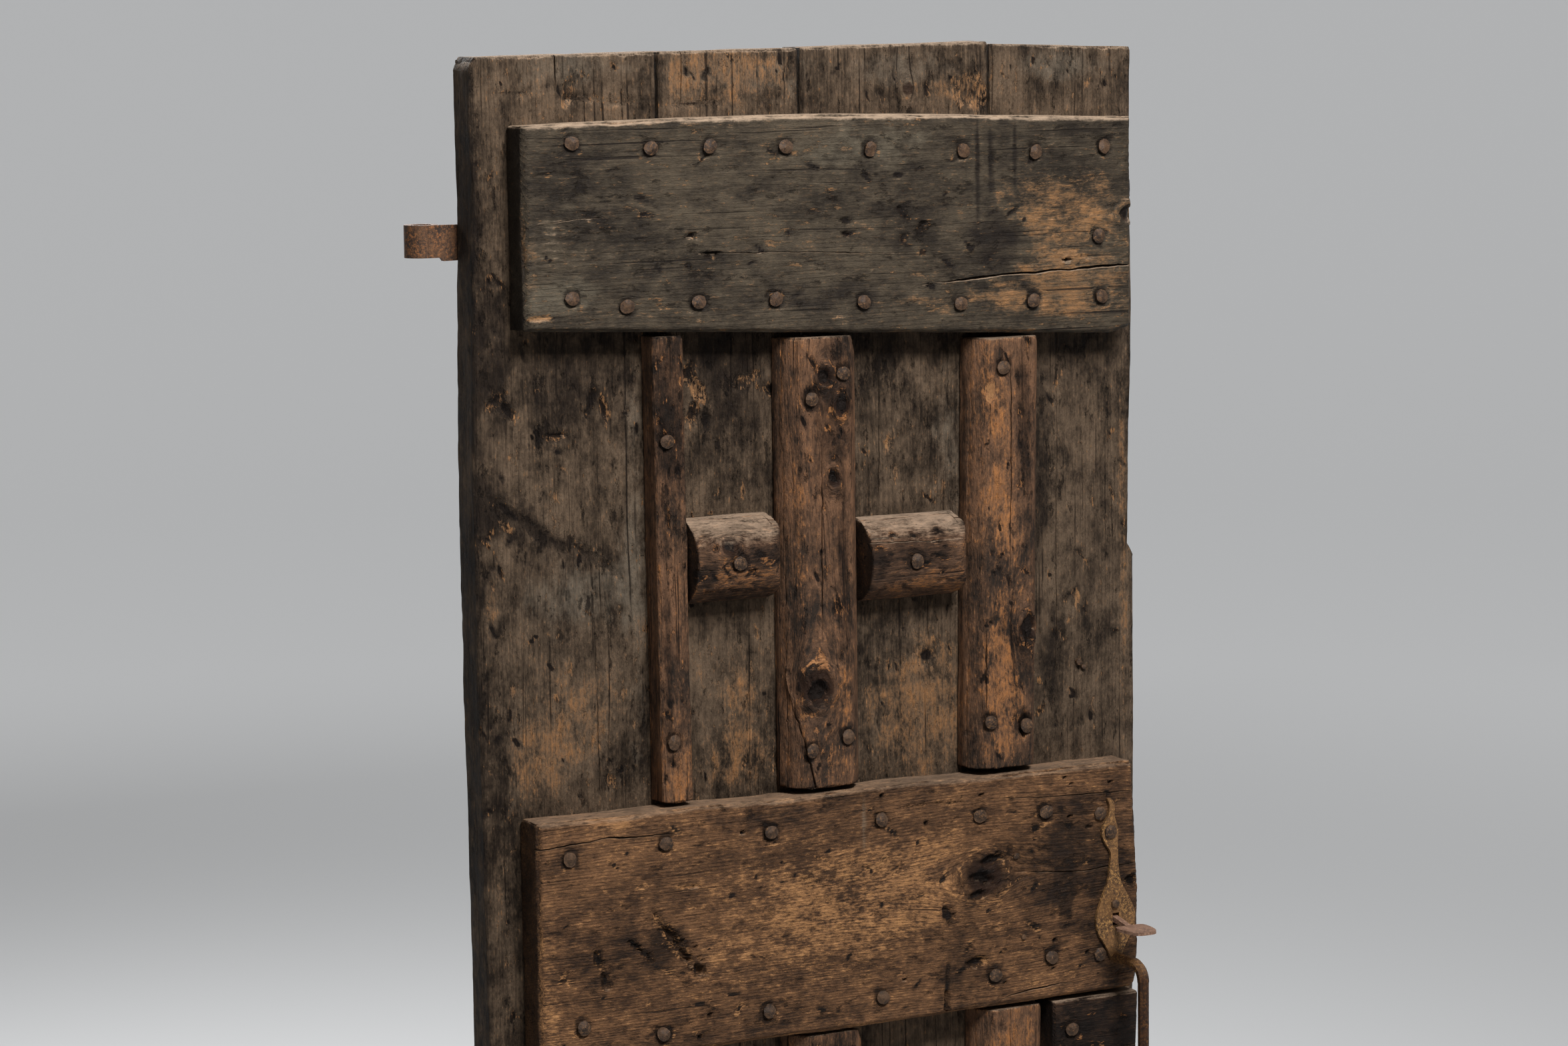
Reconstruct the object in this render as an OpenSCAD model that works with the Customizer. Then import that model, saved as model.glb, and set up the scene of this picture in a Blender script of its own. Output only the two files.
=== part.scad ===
// Old plank door leaf of heavy pine: four boards held by three nailed ledges, hewn strips over the
// joints, half-log blocks between the strips, two strap hinges with rolled eyes and a thumb latch.
// Seen from the front, X runs from the hinge side to the latch side, Y runs to the back and Z up.
// Lengths in the modules count from the leaf's lower front corner on the hinge side. The finished
// part is shifted so that its origin is the middle of the lower hinge eye.

/* [Boards] */
// Height of the leaf
leaf_height = 2060; // [1800:10:2300]
// Thickness of the boards
board_thickness = 47; // [38:1:60]
// Width of the board on the hinge side
hinge_board_width = 242; // [200:1:290]
// Width of the second board
second_board_width = 190; // [160:1:230]
// Width of the third board
third_board_width = 263; // [220:1:310]
// Width of the board on the latch side
latch_board_width = 205; // [175:1:250]
// Open joint between two boards
joint_gap = 2; // [1:0.5:4]
// How far the hewn outer edges wander from a straight line
edge_wander = 3; // [0:0.5:5]
// Wear on the front arrises of the boards
board_wear = 3; // [1:0.5:5]

/* [Ledges] */
// Distance from the hinge edge of the leaf to the ledges
ledge_hinge_inset = 46; // [30:1:70]
// Distance from the latch edge of the leaf to the ledges
ledge_latch_inset = 25; // [15:1:40]
// Distance from the top of the leaf to the top ledge, at the hinge end
top_ledge_drop = 81; // [60:1:110]
// How much lower the top ledge's upper edge lies at its latch end
top_ledge_fall = 9; // [0:1:20]
// Height of the top ledge at its hinge end
top_ledge_hinge_height = 236; // [200:1:280]
// Height of the top ledge at its latch end
top_ledge_latch_height = 268; // [220:1:300]
// Thickness of the top ledge
top_ledge_thickness = 42; // [32:1:55]
// Distance from the top of the leaf to the middle ledge
middle_ledge_drop = 890; // [840:5:980]
// Height of the middle ledge
middle_ledge_height = 293; // [270:1:330]
// Thickness of the middle ledge
middle_ledge_thickness = 48; // [40:1:60]
// Distance from the bottom of the leaf to the bottom ledge
bottom_ledge_rise = 70; // [40:1:110]
// Height of the bottom ledge
bottom_ledge_height = 262; // [220:1:300]
// Thickness of the bottom ledge
bottom_ledge_thickness = 44; // [34:1:55]
// Wear on the front arrises of the ledges
ledge_wear = 6; // [2:0.5:9]

/* [Strips and blocks] */
// Width of the narrow strip over the first joint
first_strip_width = 42; // [34:1:60]
// Thickness of the narrow strip
first_strip_thickness = 34; // [26:1:42]
// Width of the strip over the second joint
second_strip_width = 107; // [90:1:125]
// Width of the strip over the third joint
third_strip_width = 100; // [85:1:120]
// Thickness of the two broad strips
broad_strip_thickness = 42; // [34:1:50]
// Gap between the end of a strip and a ledge
strip_end_gap = 4; // [2:0.5:8]
// Height of the half-log blocks
block_height = 103; // [85:1:120]
// Thickness of the half-log blocks
block_thickness = 52; // [44:1:60]
// Distance from the top of the leaf to the middle of the left block
left_block_drop = 601; // [540:5:680]
// Distance from the top of the leaf to the middle of the right block
right_block_drop = 616; // [540:5:680]
// Gap between a block and the strips beside it
block_gap = 2; // [1:0.5:5]
// Width of the lock block
lock_block_width = 126; // [110:1:135]
// Height of the lock block
lock_block_height = 205; // [180:1:240]
// Gap between the middle ledge and the lock block
lock_block_gap = 3; // [1:0.5:6]

/* [Nails] */
// Width of a nail head
nail_head_width = 20; // [14:0.5:24]
// Height of a nail head
nail_head_height = 5; // [3:0.5:7]
// Side of a nail's square shank
nail_shank = 7; // [5:0.5:9]
// Length of the tip that is clenched on the back
clench_length = 24; // [16:1:32]
// Thickness of the clenched tip
clench_thickness = 3; // [2:0.5:4]

/* [Hinges] */
// Bore of the hinge eye
eye_bore = 24; // [18:1:30]
// Thickness of the hinge iron
hinge_iron = 8; // [6:0.5:10]
// Height of the rolled eye
eye_height = 38; // [30:1:50]
// Height of the strap beside the eye
strap_height = 42; // [34:1:54]
// Height of the strap at its far end
strap_end_height = 30; // [24:1:38]
// Length of the strap on the leaf
strap_length = 520; // [420:5:640]
// Distance from the leaf's edge to the swing axis
eye_offset = 33; // [28:1:45]
// Distance from the top of the leaf to the upper strap
upper_hinge_drop = 214; // [180:1:260]
// Distance from the bottom of the leaf to the lower strap
lower_hinge_rise = 200; // [170:1:260]
// Length of the hinge nails in the wood
hinge_nail_length = 34; // [24:1:36]

/* [Latch] */
// Distance from the latch edge of the leaf to the middle of the latch
latch_inset = 60; // [52:1:75]
// Height of the thumb pivot above the lower edge of the middle ledge
latch_rise = 93; // [80:1:105]
// Half the width of the pear-shaped plate
plate_half_width = 29; // [25:0.5:33]
// Thickness of the plate
plate_thickness = 4; // [3:0.5:6]
// Thickness of the grip bar
grip_bar = 13; // [10:0.5:16]
// Distance from the ledge's face to the middle of the grip
grip_reach = 66; // [50:1:80]
// Distance between the two arms of the grip
grip_length = 165; // [130:1:175]
// Distance from the thumb pivot down to the upper arm
grip_drop = 49; // [44:1:56]
// Bend radius at the ends of the grip
grip_bend = 20; // [14:1:26]
// Length of the latch nails in the wood
latch_nail_length = 34; // [20:1:38]

/* [Thumb lever and bar] */
// Width of the lever where it passes through the leaf
lever_width = 8; // [6:0.5:9]
// Height of the lever where it passes through the leaf
lever_height = 9; // [7:0.5:11]
// Width of the thumb leaf
thumb_width = 40; // [30:1:50]
// Length of the thumb leaf
thumb_length = 44; // [34:1:54]
// Distance from the plate to the front of the thumb leaf
thumb_reach = 74; // [64:1:84]
// Thickness of the thumb leaf
thumb_thickness = 4; // [3:0.5:6]
// Diameter of the thumb pivot pin
pivot_pin = 5; // [4:0.5:6]
// Length of the thumb pivot pin
pivot_pin_length = 30; // [26:1:36]
// Travel of the thumb lever in degrees
thumb_travel = 10; // [6:0.5:11]
// Height of the latch bar
bar_height = 24; // [18:1:30]
// Thickness of the latch bar
bar_thickness = 7; // [5:0.5:10]
// How far the bar's nose stands past the latch edge
bar_nose = 22; // [15:1:24]
// Distance from the third joint to the bar's pivot
bar_pivot_inset = 40; // [30:1:70]
// Diameter of the bar's pivot stud
bar_stud = 10; // [8:0.5:12]
// Depth of the stud in the board
bar_stud_depth = 32; // [24:1:34]
// Thickness of the staple's iron
staple_iron = 7; // [5:0.5:9]
// Depth of the staple's legs in the board
staple_depth = 28; // [20:1:34]
// Distance from the latch edge to the staple
staple_inset = 27; // [22:1:34]
// Running clearance of the moving pieces
clearance = 0.4; // [0.3:0.05:0.8]

/* [Hidden] */
$fn = 64;

// Reach of a cutting tool past the surface that it cuts
cut = 2;

// Board joints, counted from the hinge edge
board_widths = [hinge_board_width, second_board_width, third_board_width, latch_board_width];
first_joint = hinge_board_width;
second_joint = first_joint + second_board_width;
third_joint = second_joint + third_board_width;
leaf_width = third_joint + latch_board_width;
joints = [0, first_joint, second_joint, third_joint, leaf_width];

// Ledges
ledge_left = ledge_hinge_inset;
ledge_right = leaf_width - ledge_latch_inset;
ledge_length = ledge_right - ledge_left;
top_ledge_top = leaf_height - top_ledge_drop;
middle_ledge_top = leaf_height - middle_ledge_drop;
middle_ledge_under = middle_ledge_top - middle_ledge_height;
bottom_ledge_top = bottom_ledge_rise + bottom_ledge_height;

// Strips: middle of each strip at its half length, width, thickness, what was hewn off the log, lean
first_strip_shift = -5;
second_strip_shift = 9;
strip_middles = [first_joint + first_strip_shift, second_joint + second_strip_shift, third_joint];
strip_widths = [first_strip_width, second_strip_width, third_strip_width];
strip_thicknesses = [first_strip_thickness, broad_strip_thickness, broad_strip_thickness];
strip_crown_rises = [6, 10, 12];
strip_leans = [-0.5, 0, 0.9];

// Blocks and lock block
lock_block_overhang = 2;
lock_block_right = ledge_right + lock_block_overhang;
lock_block_left = lock_block_right - lock_block_width;
lock_block_top = middle_ledge_under - lock_block_gap;
lock_block_low = lock_block_top - lock_block_height;
lock_block_thickness = middle_ledge_thickness;

// Hinges
eye_radius = eye_bore / 2 + hinge_iron;
eye_step = 0.5;
eye_y = board_thickness + eye_step + eye_radius;
upper_hinge_z = leaf_height - upper_hinge_drop;
lower_hinge_z = lower_hinge_rise;
hinge_nail_head = 16;
hinge_nail_first = 60;
hinge_nail_inset = 30;
hinge_nail_last = strap_length - hinge_nail_inset;
hinge_nail_count = 4;

// Latch: the pivot lies just behind the plate, in a groove in the ledge
latch_x = leaf_width - latch_inset;
latch_z = middle_ledge_under + latch_rise;
plate_back = -middle_ledge_thickness;
plate_front = plate_back - plate_thickness;
pivot_depth = 6;
pivot_y = plate_back + pivot_depth;
boss_rim = 2.5;
pivot_boss = lever_height / 2 + boss_rim;
grip_y = plate_back - grip_reach;
grip_high = latch_z - grip_drop;
grip_low = grip_high - grip_length;
mortise_side = 2.5;
mortise_play = 3;
mortise_low = pivot_boss + mortise_play;
mortise_high = (board_thickness - pivot_y) * tan(thumb_travel) + lever_height / 2 + mortise_play;

// Latch bar: its under edge lies just over the lever's tail
bar_gap = 0.8;
bar_front = board_thickness + bar_gap;
bar_back = bar_front + bar_thickness;
bar_under = latch_z + lever_height / 2 + clearance;
bar_z = bar_under + bar_height / 2;
bar_pivot_x = third_joint - bar_pivot_inset;
bar_end = leaf_width + bar_nose;
bar_boss_rim = 4;
bar_boss = bar_height / 2 + bar_boss_rim;
tail_end = 5;
lever_tail = bar_back + tail_end;
bar_y = (bar_front + bar_back) / 2;
lever_arm = bar_y - pivot_y;
bar_arm = latch_x - lever_width / 2 - bar_pivot_x;
bar_lead = 1.06;
bar_travel = thumb_travel * lever_arm / bar_arm * bar_lead;
staple_x = leaf_width - staple_inset;
staple_low = bar_under - clearance;
staple_play = 4;
staple_high = bar_z + bar_height / 2 + (staple_x + staple_iron - bar_pivot_x) * tan(bar_travel) + staple_play;
staple_face = bar_back + 3 * clearance;

// Outlines
// Points between two neighbours of a smooth curve
curve_steps = 4;
function bend(a, b, c, d, t) =
  0.5 * (2 * b + (c - a) * t + (2 * a - 5 * b + 4 * c - d) * t * t + (3 * b - a - 3 * c + d) * t * t * t);
function smooth(points, steps = curve_steps) = [
  for (i = [0 : len(points) - 2], k = [0 : steps - 1])
    bend(points[max(i - 1, 0)], points[i], points[i + 1], points[min(i + 2, len(points) - 1)], k / steps),
  points[len(points) - 1]
];
// Points down or along a hewn edge, which leaves its straight line by shares of a wander
function upright_edge(x, low, high, shape, size) =
  [for (i = [0 : len(shape) - 1]) [x + shape[i] * size, low + (high - low) * i / (len(shape) - 1)]];
function level_edge(left, right, z_left, z_right, shape, size) = [
  for (i = [0 : len(shape) - 1])
    let (s = i / (len(shape) - 1))
      [left + (right - left) * s, z_left + (z_right - z_left) * s + shape[i] * size]
];
function backwards(points) = [for (i = [len(points) - 1 : -1 : 0]) points[i]];

// Straight lines of the ledges' edges, which nails and strips keep to
function top_ledge_share(x) = (x - ledge_left) / ledge_length;
function top_ledge_over(x) = top_ledge_top - top_ledge_fall * top_ledge_share(x);
function top_ledge_under(x) =
  top_ledge_top - top_ledge_hinge_height
  - (top_ledge_fall + top_ledge_latch_height - top_ledge_hinge_height) * top_ledge_share(x);

// Nail places: the board that is nailed, the share of its width, and the distance from a ledge's edge
top_nail_row = [
  [0, 0.45, 21], [0, 0.87, 28], [1, 0.24, 27], [1, 0.77, 29],
  [2, 0.27, 34], [2, 0.76, 38], [3, 0.19, 41], [3, 0.67, 36]
];
low_nail_row = [
  [0, 0.44, 41], [0, 0.73, 32], [1, 0.15, 38], [1, 0.69, 42],
  [2, 0.23, 39], [2, 0.74, 38], [3, 0.17, 42], [3, 0.65, 48]
];
middle_high_row = [[0, 0.36, 45], [0, 0.88, 39], [1, 0.59, 40], [2, 0.28, 40], [2, 0.81, 50], [3, 0.22, 54]];
middle_low_row = [[0, 0.42, 47], [0, 0.85, 27], [1, 0.56, 37], [2, 0.28, 35], [2, 0.89, 43], [3, 0.26, 56]];
odd_nail = [3, 0.63, 122];
function nail_x(place) = joints[place[0]] + place[1] * board_widths[place[0]];

top_ledge_places = concat(
  [for (p = top_nail_row) [nail_x(p), top_ledge_over(nail_x(p)) - p[2]]],
  [for (p = low_nail_row) [nail_x(p), top_ledge_under(nail_x(p)) + p[2]]],
  [[nail_x(odd_nail), top_ledge_under(nail_x(odd_nail)) + odd_nail[2]]]
);
middle_ledge_places = concat(
  [for (p = middle_high_row) [nail_x(p), middle_ledge_top - p[2]]],
  [for (p = middle_low_row) [nail_x(p), middle_ledge_under + p[2]]]
);
bottom_ledge_places = concat(
  [for (p = low_nail_row) [nail_x(p), bottom_ledge_top - p[2]]],
  [for (p = top_nail_row) [nail_x(p), bottom_ledge_rise + p[2]]]
);

// Strip nails: strip, distance from its middle line, distance from its upper end or, if negative, lower end
upper_strip_nails = [
  [0, -7, 124], [0, -4, -74], [1, -22, 74], [1, 20, 46], [1, -26, -48], [1, 20, -58],
  [2, -9, 37], [2, -30, -60], [2, 19, -52]
];
lower_strip_nails = [
  [0, -6, 80], [0, -6, -80], [1, -22, 60], [1, 20, -60], [2, -18, 70], [2, 19, -64]
];
function upper_strip_high(i) = top_ledge_under(strip_middles[i]) - strip_end_gap;
function upper_strip_low(i) = middle_ledge_top + strip_end_gap;
function lower_strip_high(i) = middle_ledge_under - strip_end_gap;
function lower_strip_low(i) = bottom_ledge_top + strip_end_gap;
function strip_place(n, low, high) =
  [strip_middles[n[0]] + n[1], n[2] > 0 ? high - n[2] : low - n[2], strip_thicknesses[n[0]]];
strip_places = concat(
  [for (n = upper_strip_nails) strip_place(n, upper_strip_low(n[0]), upper_strip_high(n[0]))],
  [for (n = lower_strip_nails) strip_place(n, lower_strip_low(n[0]), lower_strip_high(n[0]))]
);

// Block nails
block_nail_sink = 1.5;
head_play = 1;
left_block_left = strip_middles[0] + first_strip_width / 2 + block_gap;
left_block_right = strip_middles[1] - second_strip_width / 2 - block_gap;
right_block_left = strip_middles[1] + second_strip_width / 2 + block_gap;
right_block_right = strip_middles[2] - third_strip_width / 2 - block_gap;
left_block_z = leaf_height - left_block_drop;
right_block_z = leaf_height - right_block_drop;
left_nail_shift = -7;
right_nail_shift = -12;
lock_nail_inset = [26, 36];
left_nail_x = (left_block_left + left_block_right) / 2 + left_nail_shift;
right_nail_x = (right_block_left + right_block_right) / 2 + right_nail_shift;
block_seat = block_thickness - block_nail_sink;
block_places = [[left_nail_x, left_block_z, block_seat], [right_nail_x, right_block_z, block_seat]];
lock_block_places = [
  for (z = [lock_block_top - lock_nail_inset[1], lock_block_low + lock_nail_inset[1]])
    [lock_block_left + lock_nail_inset[0], z, lock_block_thickness]
];

// Every nail that goes through to the back
through_places = concat(
  top_ledge_places, middle_ledge_places, bottom_ledge_places, strip_places, block_places, lock_block_places
);

// Latch nails: place beside the thumb pivot and width of the head
latch_stem_nail = [-8, 112];
latch_side_nail = [-21, 136];
latch_plate_nail = [-2, 20];
latch_foot_nail = [-0.75 * plate_half_width, -43];
latch_nail_head = 18;
latch_rivet_head = 11;
latch_shank = 5;
// Lower cusp: the nail below the grip's lower arm
cusp_nail_drop = 32;
cusp_half_width = 15;
cusp_neck = grip_bar / 2 + 1;

// Shift from the leaf's corner to the lower hinge eye
module place() { translate([eye_offset, -eye_y, -lower_hinge_z]) children(); }

// A piece cut from an upright outline, from one depth to another
module upright(outline, front, back) {
  translate([0, back, 0]) rotate([90, 0, 0]) linear_extrude(back - front) polygon(outline);
}

// The worn arris between two corners of an outline on the front face
module worn_arris(from, to, front, wear) {
  run = to - from;
  translate([from[0], front, from[1]])
    rotate([0, -atan2(run[1], run[0]), 0])
      translate([-cut, 0, 0])
        rotate([90, 0, 90])
          linear_extrude(norm(run) + 2 * cut)
            polygon([[-cut, -cut], [wear + cut, -cut], [-cut, wear + cut]]);
}

// Hand wear: no two sides that meet are worn alike
wear_least = 0.85;
wear_spread = 0.3;
function wear_share(side) = wear_least + wear_spread * ((4 * side) % 9) / 8;

// A plank with a worn front edge all round, one side of its outline after the other
module plank(outline, front, back, wear, side = 0) {
  if (side == len(outline))
    upright(outline, front, back);
  else
    difference() {
      plank(outline, front, back, wear, side + 1);
      worn_arris(outline[side], outline[(side + 1) % len(outline)], front, wear * wear_share(side));
    }
}

// Square holes for the nails that fall between two upright lines
module nail_holes(left, right, low, high, front, back) {
  for (p = through_places)
    if (p[0] > left - nail_shank && p[0] < right + nail_shank && p[1] > low && p[1] < high)
      translate([p[0] - nail_shank / 2, front - cut, p[1] - nail_shank / 2])
        cube([nail_shank, back - front + 2 * cut, nail_shank]);
}

// A forged head: seven hammered sides under a low dome
dome_share = 0.85;
module nail_head(width, height, spin) {
  dome = width * dome_share;
  intersection() {
    translate([0, 0, -height]) rotate(spin) cylinder(r = width / 2, h = height, $fn = 7);
    translate([0, 0, dome - height]) sphere(dome);
  }
}

// A nail driven from the front to the back, its shank rooted in its head
shank_root = 2;
module driven_nail(x, z, seat, end, spin, width = nail_head_width, shank = nail_shank) {
  translate([x, seat, z]) rotate([-90, 0, 0]) nail_head(width, nail_head_height, spin);
  translate([x - shank / 2, seat - shank_root, z - shank / 2]) cube([shank, end - seat + shank_root, shank]);
}

// A nail driven through the leaf, with its tip hammered flat on the back, upwards or downwards
module clenched_nail(x, z, seat, spin, up) {
  tip_low = up ? z - nail_shank / 2 : z + nail_shank / 2 - clench_length;
  driven_nail(x, z, seat, board_thickness, spin);
  translate([x - nail_shank / 2, board_thickness, tip_low])
    cube([nail_shank, clench_thickness, clench_length]);
}

// Boards
hinge_edge_shape = [0, 0.3, -0.3, -0.5, 0.2, 0.7, 0.3, -0.2, -0.8, -1, -0.3, 0.8, 0.4];
latch_edge_low_shape = [0, -0.3, 0.5, -0.4, 0.6, 1, 1];
latch_edge_high_shape = [-1.6, -0.8, 0.6, -0.5, 0.3];
latch_split = 640;
latch_split_run = 14;
top_corner_wear = [9, 16];
top_steps = [[-2, 0], [0, 1], [2, 5], [2, -5]];

function board_left(i) = joints[i] + (i == 0 ? 0 : joint_gap / 2);
function board_right(i) = joints[i + 1] - (i == 3 ? 0 : joint_gap / 2);
function board_top(i) =
  [[board_right(i), leaf_height + top_steps[i][1]], [board_left(i), leaf_height + top_steps[i][0]]];
hinge_board_outline = concat(
  [[board_right(0), 0], board_top(0)[0]],
  [[top_corner_wear[0], leaf_height + top_steps[0][0]]],
  backwards(upright_edge(0, 0, leaf_height - top_corner_wear[1], hinge_edge_shape, edge_wander))
);
latch_board_outline = concat(
  [[board_left(3), 0]],
  upright_edge(leaf_width, 0, leaf_height - latch_split, latch_edge_low_shape, edge_wander),
  upright_edge(leaf_width, leaf_height - latch_split + latch_split_run, leaf_height + top_steps[3][1],
    latch_edge_high_shape, edge_wander),
  [board_top(3)[1]]
);
function inner_board_outline(i) = concat([[board_left(i), 0], [board_right(i), 0]], board_top(i));

module board(i, outline) {
  color([0.29, 0.22, 0.17]) place() difference() {
    plank(outline, 0, board_thickness, board_wear);
    nail_holes(board_left(i), board_right(i), 0, leaf_height, 0, board_thickness);
    hinge_nail_holes(board_left(i), board_right(i));
    if (i == 2) bar_stud_hole();
    if (i == 3) lever_mortise();
    if (i == 3) staple_holes();
  }
}
module hinge_board() { board(0, hinge_board_outline); }
module second_board() { board(1, inner_board_outline(1)); }
module third_board() { board(2, inner_board_outline(2)); }
module latch_board() { board(3, latch_board_outline); }

// Ledges
top_ledge_bow = 8;
top_ledge_shape = [0, 0.8, 1.05, 0.6, 0];
top_ledge_corner = [30, 10];
middle_ledge_bow = 2;
middle_ledge_high_shape = [0.8, -0.3, 0.6, -1, -0.2, 0.4, -1, -0.6, -0.8];
middle_ledge_low_shape = [0, -0.6, -0.4, -0.8, -0.2, 0.4, 1];
middle_end_swell = 4;
middle_end_corner = 8;
middle_end_shape = [-0.2, 1, 1, 0.6, -0.4, -0.8];

top_ledge_outline = concat(
  [[ledge_left, top_ledge_under(ledge_left)]],
  [[ledge_right - top_ledge_corner[0], top_ledge_under(ledge_right - top_ledge_corner[0])]],
  [[ledge_right, top_ledge_under(ledge_right) + top_ledge_corner[1]]],
  backwards(smooth(level_edge(ledge_left, ledge_right, top_ledge_over(ledge_left),
    top_ledge_over(ledge_right), top_ledge_shape, top_ledge_bow), 2))
);
middle_ledge_outline = concat(
  level_edge(ledge_left, ledge_right - middle_end_swell, middle_ledge_under, middle_ledge_under,
    middle_ledge_low_shape, middle_ledge_bow),
  upright_edge(ledge_right, middle_ledge_under + middle_end_corner, middle_ledge_top - middle_end_corner,
    middle_end_shape, middle_end_swell),
  backwards(level_edge(ledge_left, ledge_right - middle_end_corner, middle_ledge_top, middle_ledge_top,
    middle_ledge_high_shape, middle_ledge_bow))
);
bottom_ledge_outline = [
  [ledge_left, bottom_ledge_rise], [ledge_right, bottom_ledge_rise],
  [ledge_right, bottom_ledge_top], [ledge_left, bottom_ledge_top]
];

module top_ledge() {
  color([0.31, 0.28, 0.24]) place() difference() {
    plank(top_ledge_outline, -top_ledge_thickness, 0, ledge_wear);
    nail_holes(ledge_left, ledge_right, top_ledge_under(ledge_right), leaf_height, -top_ledge_thickness, 0);
  }
}
module middle_ledge() {
  color([0.36, 0.27, 0.19]) place() difference() {
    plank(middle_ledge_outline, -middle_ledge_thickness, 0, ledge_wear);
    nail_holes(ledge_left, ledge_right, middle_ledge_under, middle_ledge_top, -middle_ledge_thickness, 0);
    lever_mortise();
    pivot_groove();
    latch_nail_holes();
  }
}
module bottom_ledge() {
  color([0.33, 0.26, 0.2]) place() difference() {
    plank(bottom_ledge_outline, -bottom_ledge_thickness, 0, ledge_wear);
    nail_holes(ledge_left, ledge_right, 0, bottom_ledge_top, -bottom_ledge_thickness, 0);
  }
}

// Strips: a log's rounded back hewn flat in front and at its flanks, laid over a joint
side_hewn = 1;
module log_section(width, thickness, hewn_off) {
  half = width / 2 + side_hewn;
  crown = thickness + hewn_off;
  round = (half * half + crown * crown) / (2 * crown);
  intersection() {
    translate([-width / 2, -thickness]) square([width, thickness]);
    translate([0, round - crown]) circle(round);
  }
}

strip_end_slant = 4;
strip_corner = [[6, 8], [18, 38], [8, 6]];
module strip(i, low, high) {
  width = strip_widths[i];
  side = width;
  middle = (low + high) / 2;
  corner = strip_corner[i];
  outline = [
    [-side, low + strip_end_slant], [0, low], [side, low + strip_end_slant],
    [width / 2, high - corner[1]], [width / 2 - corner[0], high], [-side, high]
  ];
  color([0.4, 0.27, 0.17]) place() difference() {
    translate([strip_middles[i], 0, 0]) intersection() {
      upright(outline, -strip_thicknesses[i] - cut, cut);
      translate([0, 0, middle])
        rotate([0, strip_leans[i], 0])
          translate([0, 0, low - high])
            linear_extrude(2 * (high - low)) log_section(width, strip_thicknesses[i], strip_crown_rises[i]);
    }
    nail_holes(strip_middles[i] - side, strip_middles[i] + side, low, high, -strip_thicknesses[i], 0);
  }
}
module upper_first_strip() { strip(0, upper_strip_low(0), upper_strip_high(0)); }
module upper_second_strip() { strip(1, upper_strip_low(1), upper_strip_high(1)); }
module upper_third_strip() { strip(2, upper_strip_low(2), upper_strip_high(2)); }
module lower_first_strip() { strip(0, lower_strip_low(0), lower_strip_high(0)); }
module lower_second_strip() { strip(1, lower_strip_low(1), lower_strip_high(1)); }
module lower_third_strip() { strip(2, lower_strip_low(2), lower_strip_high(2)); }

// Blocks: a half log with a sawn left end and a rounded right end
block_end_round = 26;
module half_log(left, right, z, nail) {
  front_outline = concat(
    [[left, z - block_height], [right - block_end_round, z - block_height / 2]],
    [for (a = [-60 : 30 : 60])
      [right - block_end_round * (1 - cos(a)), z + block_height / 2 * sin(a) / sin(60)]],
    [[right - block_end_round, z + block_height / 2], [left, z + block_height]]
  );
  plan_outline = concat(
    [[left, cut], [left, -block_thickness - cut], [right - block_end_round, -block_thickness - cut]],
    [for (a = [60 : -15 : 0]) [right - block_end_round * (1 - cos(a)), -block_thickness * sin(a)]],
    [[right, cut]]
  );
  color([0.36, 0.29, 0.24]) place() difference() {
    intersection() {
      translate([left - cut, 0, z]) rotate([90, 0, 90]) linear_extrude(right - left + 2 * cut)
        rotate(-90) log_section(block_height, block_thickness, 0);
      upright(front_outline, -block_thickness - cut, cut);
      translate([0, 0, z - block_height]) linear_extrude(2 * block_height) polygon(plan_outline);
    }
    nail_holes(left, right, z - block_height, z + block_height, -block_thickness, 0);
    translate([nail[0], -nail[2], nail[1]])
      rotate([90, 0, 0])
        cylinder(d = nail_head_width + head_play, h = block_thickness);
  }
}
module left_block() { half_log(left_block_left, left_block_right, left_block_z, block_places[0]); }
module right_block() { half_log(right_block_left, right_block_right, right_block_z, block_places[1]); }

lock_block_slant = 6;
lock_block_outline = [
  [lock_block_left, lock_block_low], [lock_block_right - lock_block_slant, lock_block_low],
  [lock_block_right, lock_block_top], [lock_block_left, lock_block_top]
];
module lock_block() {
  color([0.25, 0.19, 0.15]) place() difference() {
    plank(lock_block_outline, -lock_block_thickness, 0, board_wear);
    nail_holes(lock_block_left, lock_block_right, lock_block_low, lock_block_top, -lock_block_thickness, 0);
    cusp_nail_hole();
  }
}

// Nails, in the groups that they fasten
nail_turn = 37;
module ledge_nails(places, thickness, middle) {
  color([0.24, 0.17, 0.13]) place()
    for (i = [0 : len(places) - 1])
      clenched_nail(places[i][0], places[i][1], -thickness, i * nail_turn, places[i][1] > middle);
}
module top_ledge_nails() {
  ledge_nails(top_ledge_places, top_ledge_thickness, upper_hinge_z);
}
module middle_ledge_nails() {
  ledge_nails(middle_ledge_places, middle_ledge_thickness, latch_z);
}
module bottom_ledge_nails() {
  ledge_nails(bottom_ledge_places, bottom_ledge_thickness, lower_hinge_z);
}
module strip_nails() {
  color([0.24, 0.17, 0.13]) place()
    for (i = [0 : len(strip_places) - 1])
      clenched_nail(strip_places[i][0], strip_places[i][1], -strip_places[i][2], i * nail_turn, true);
}
module block_nails() {
  places = concat(block_places, lock_block_places);
  color([0.24, 0.17, 0.13]) place()
    for (i = [0 : len(places) - 1])
      clenched_nail(places[i][0], places[i][1], -places[i][2], i * nail_turn, false);
}

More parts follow.
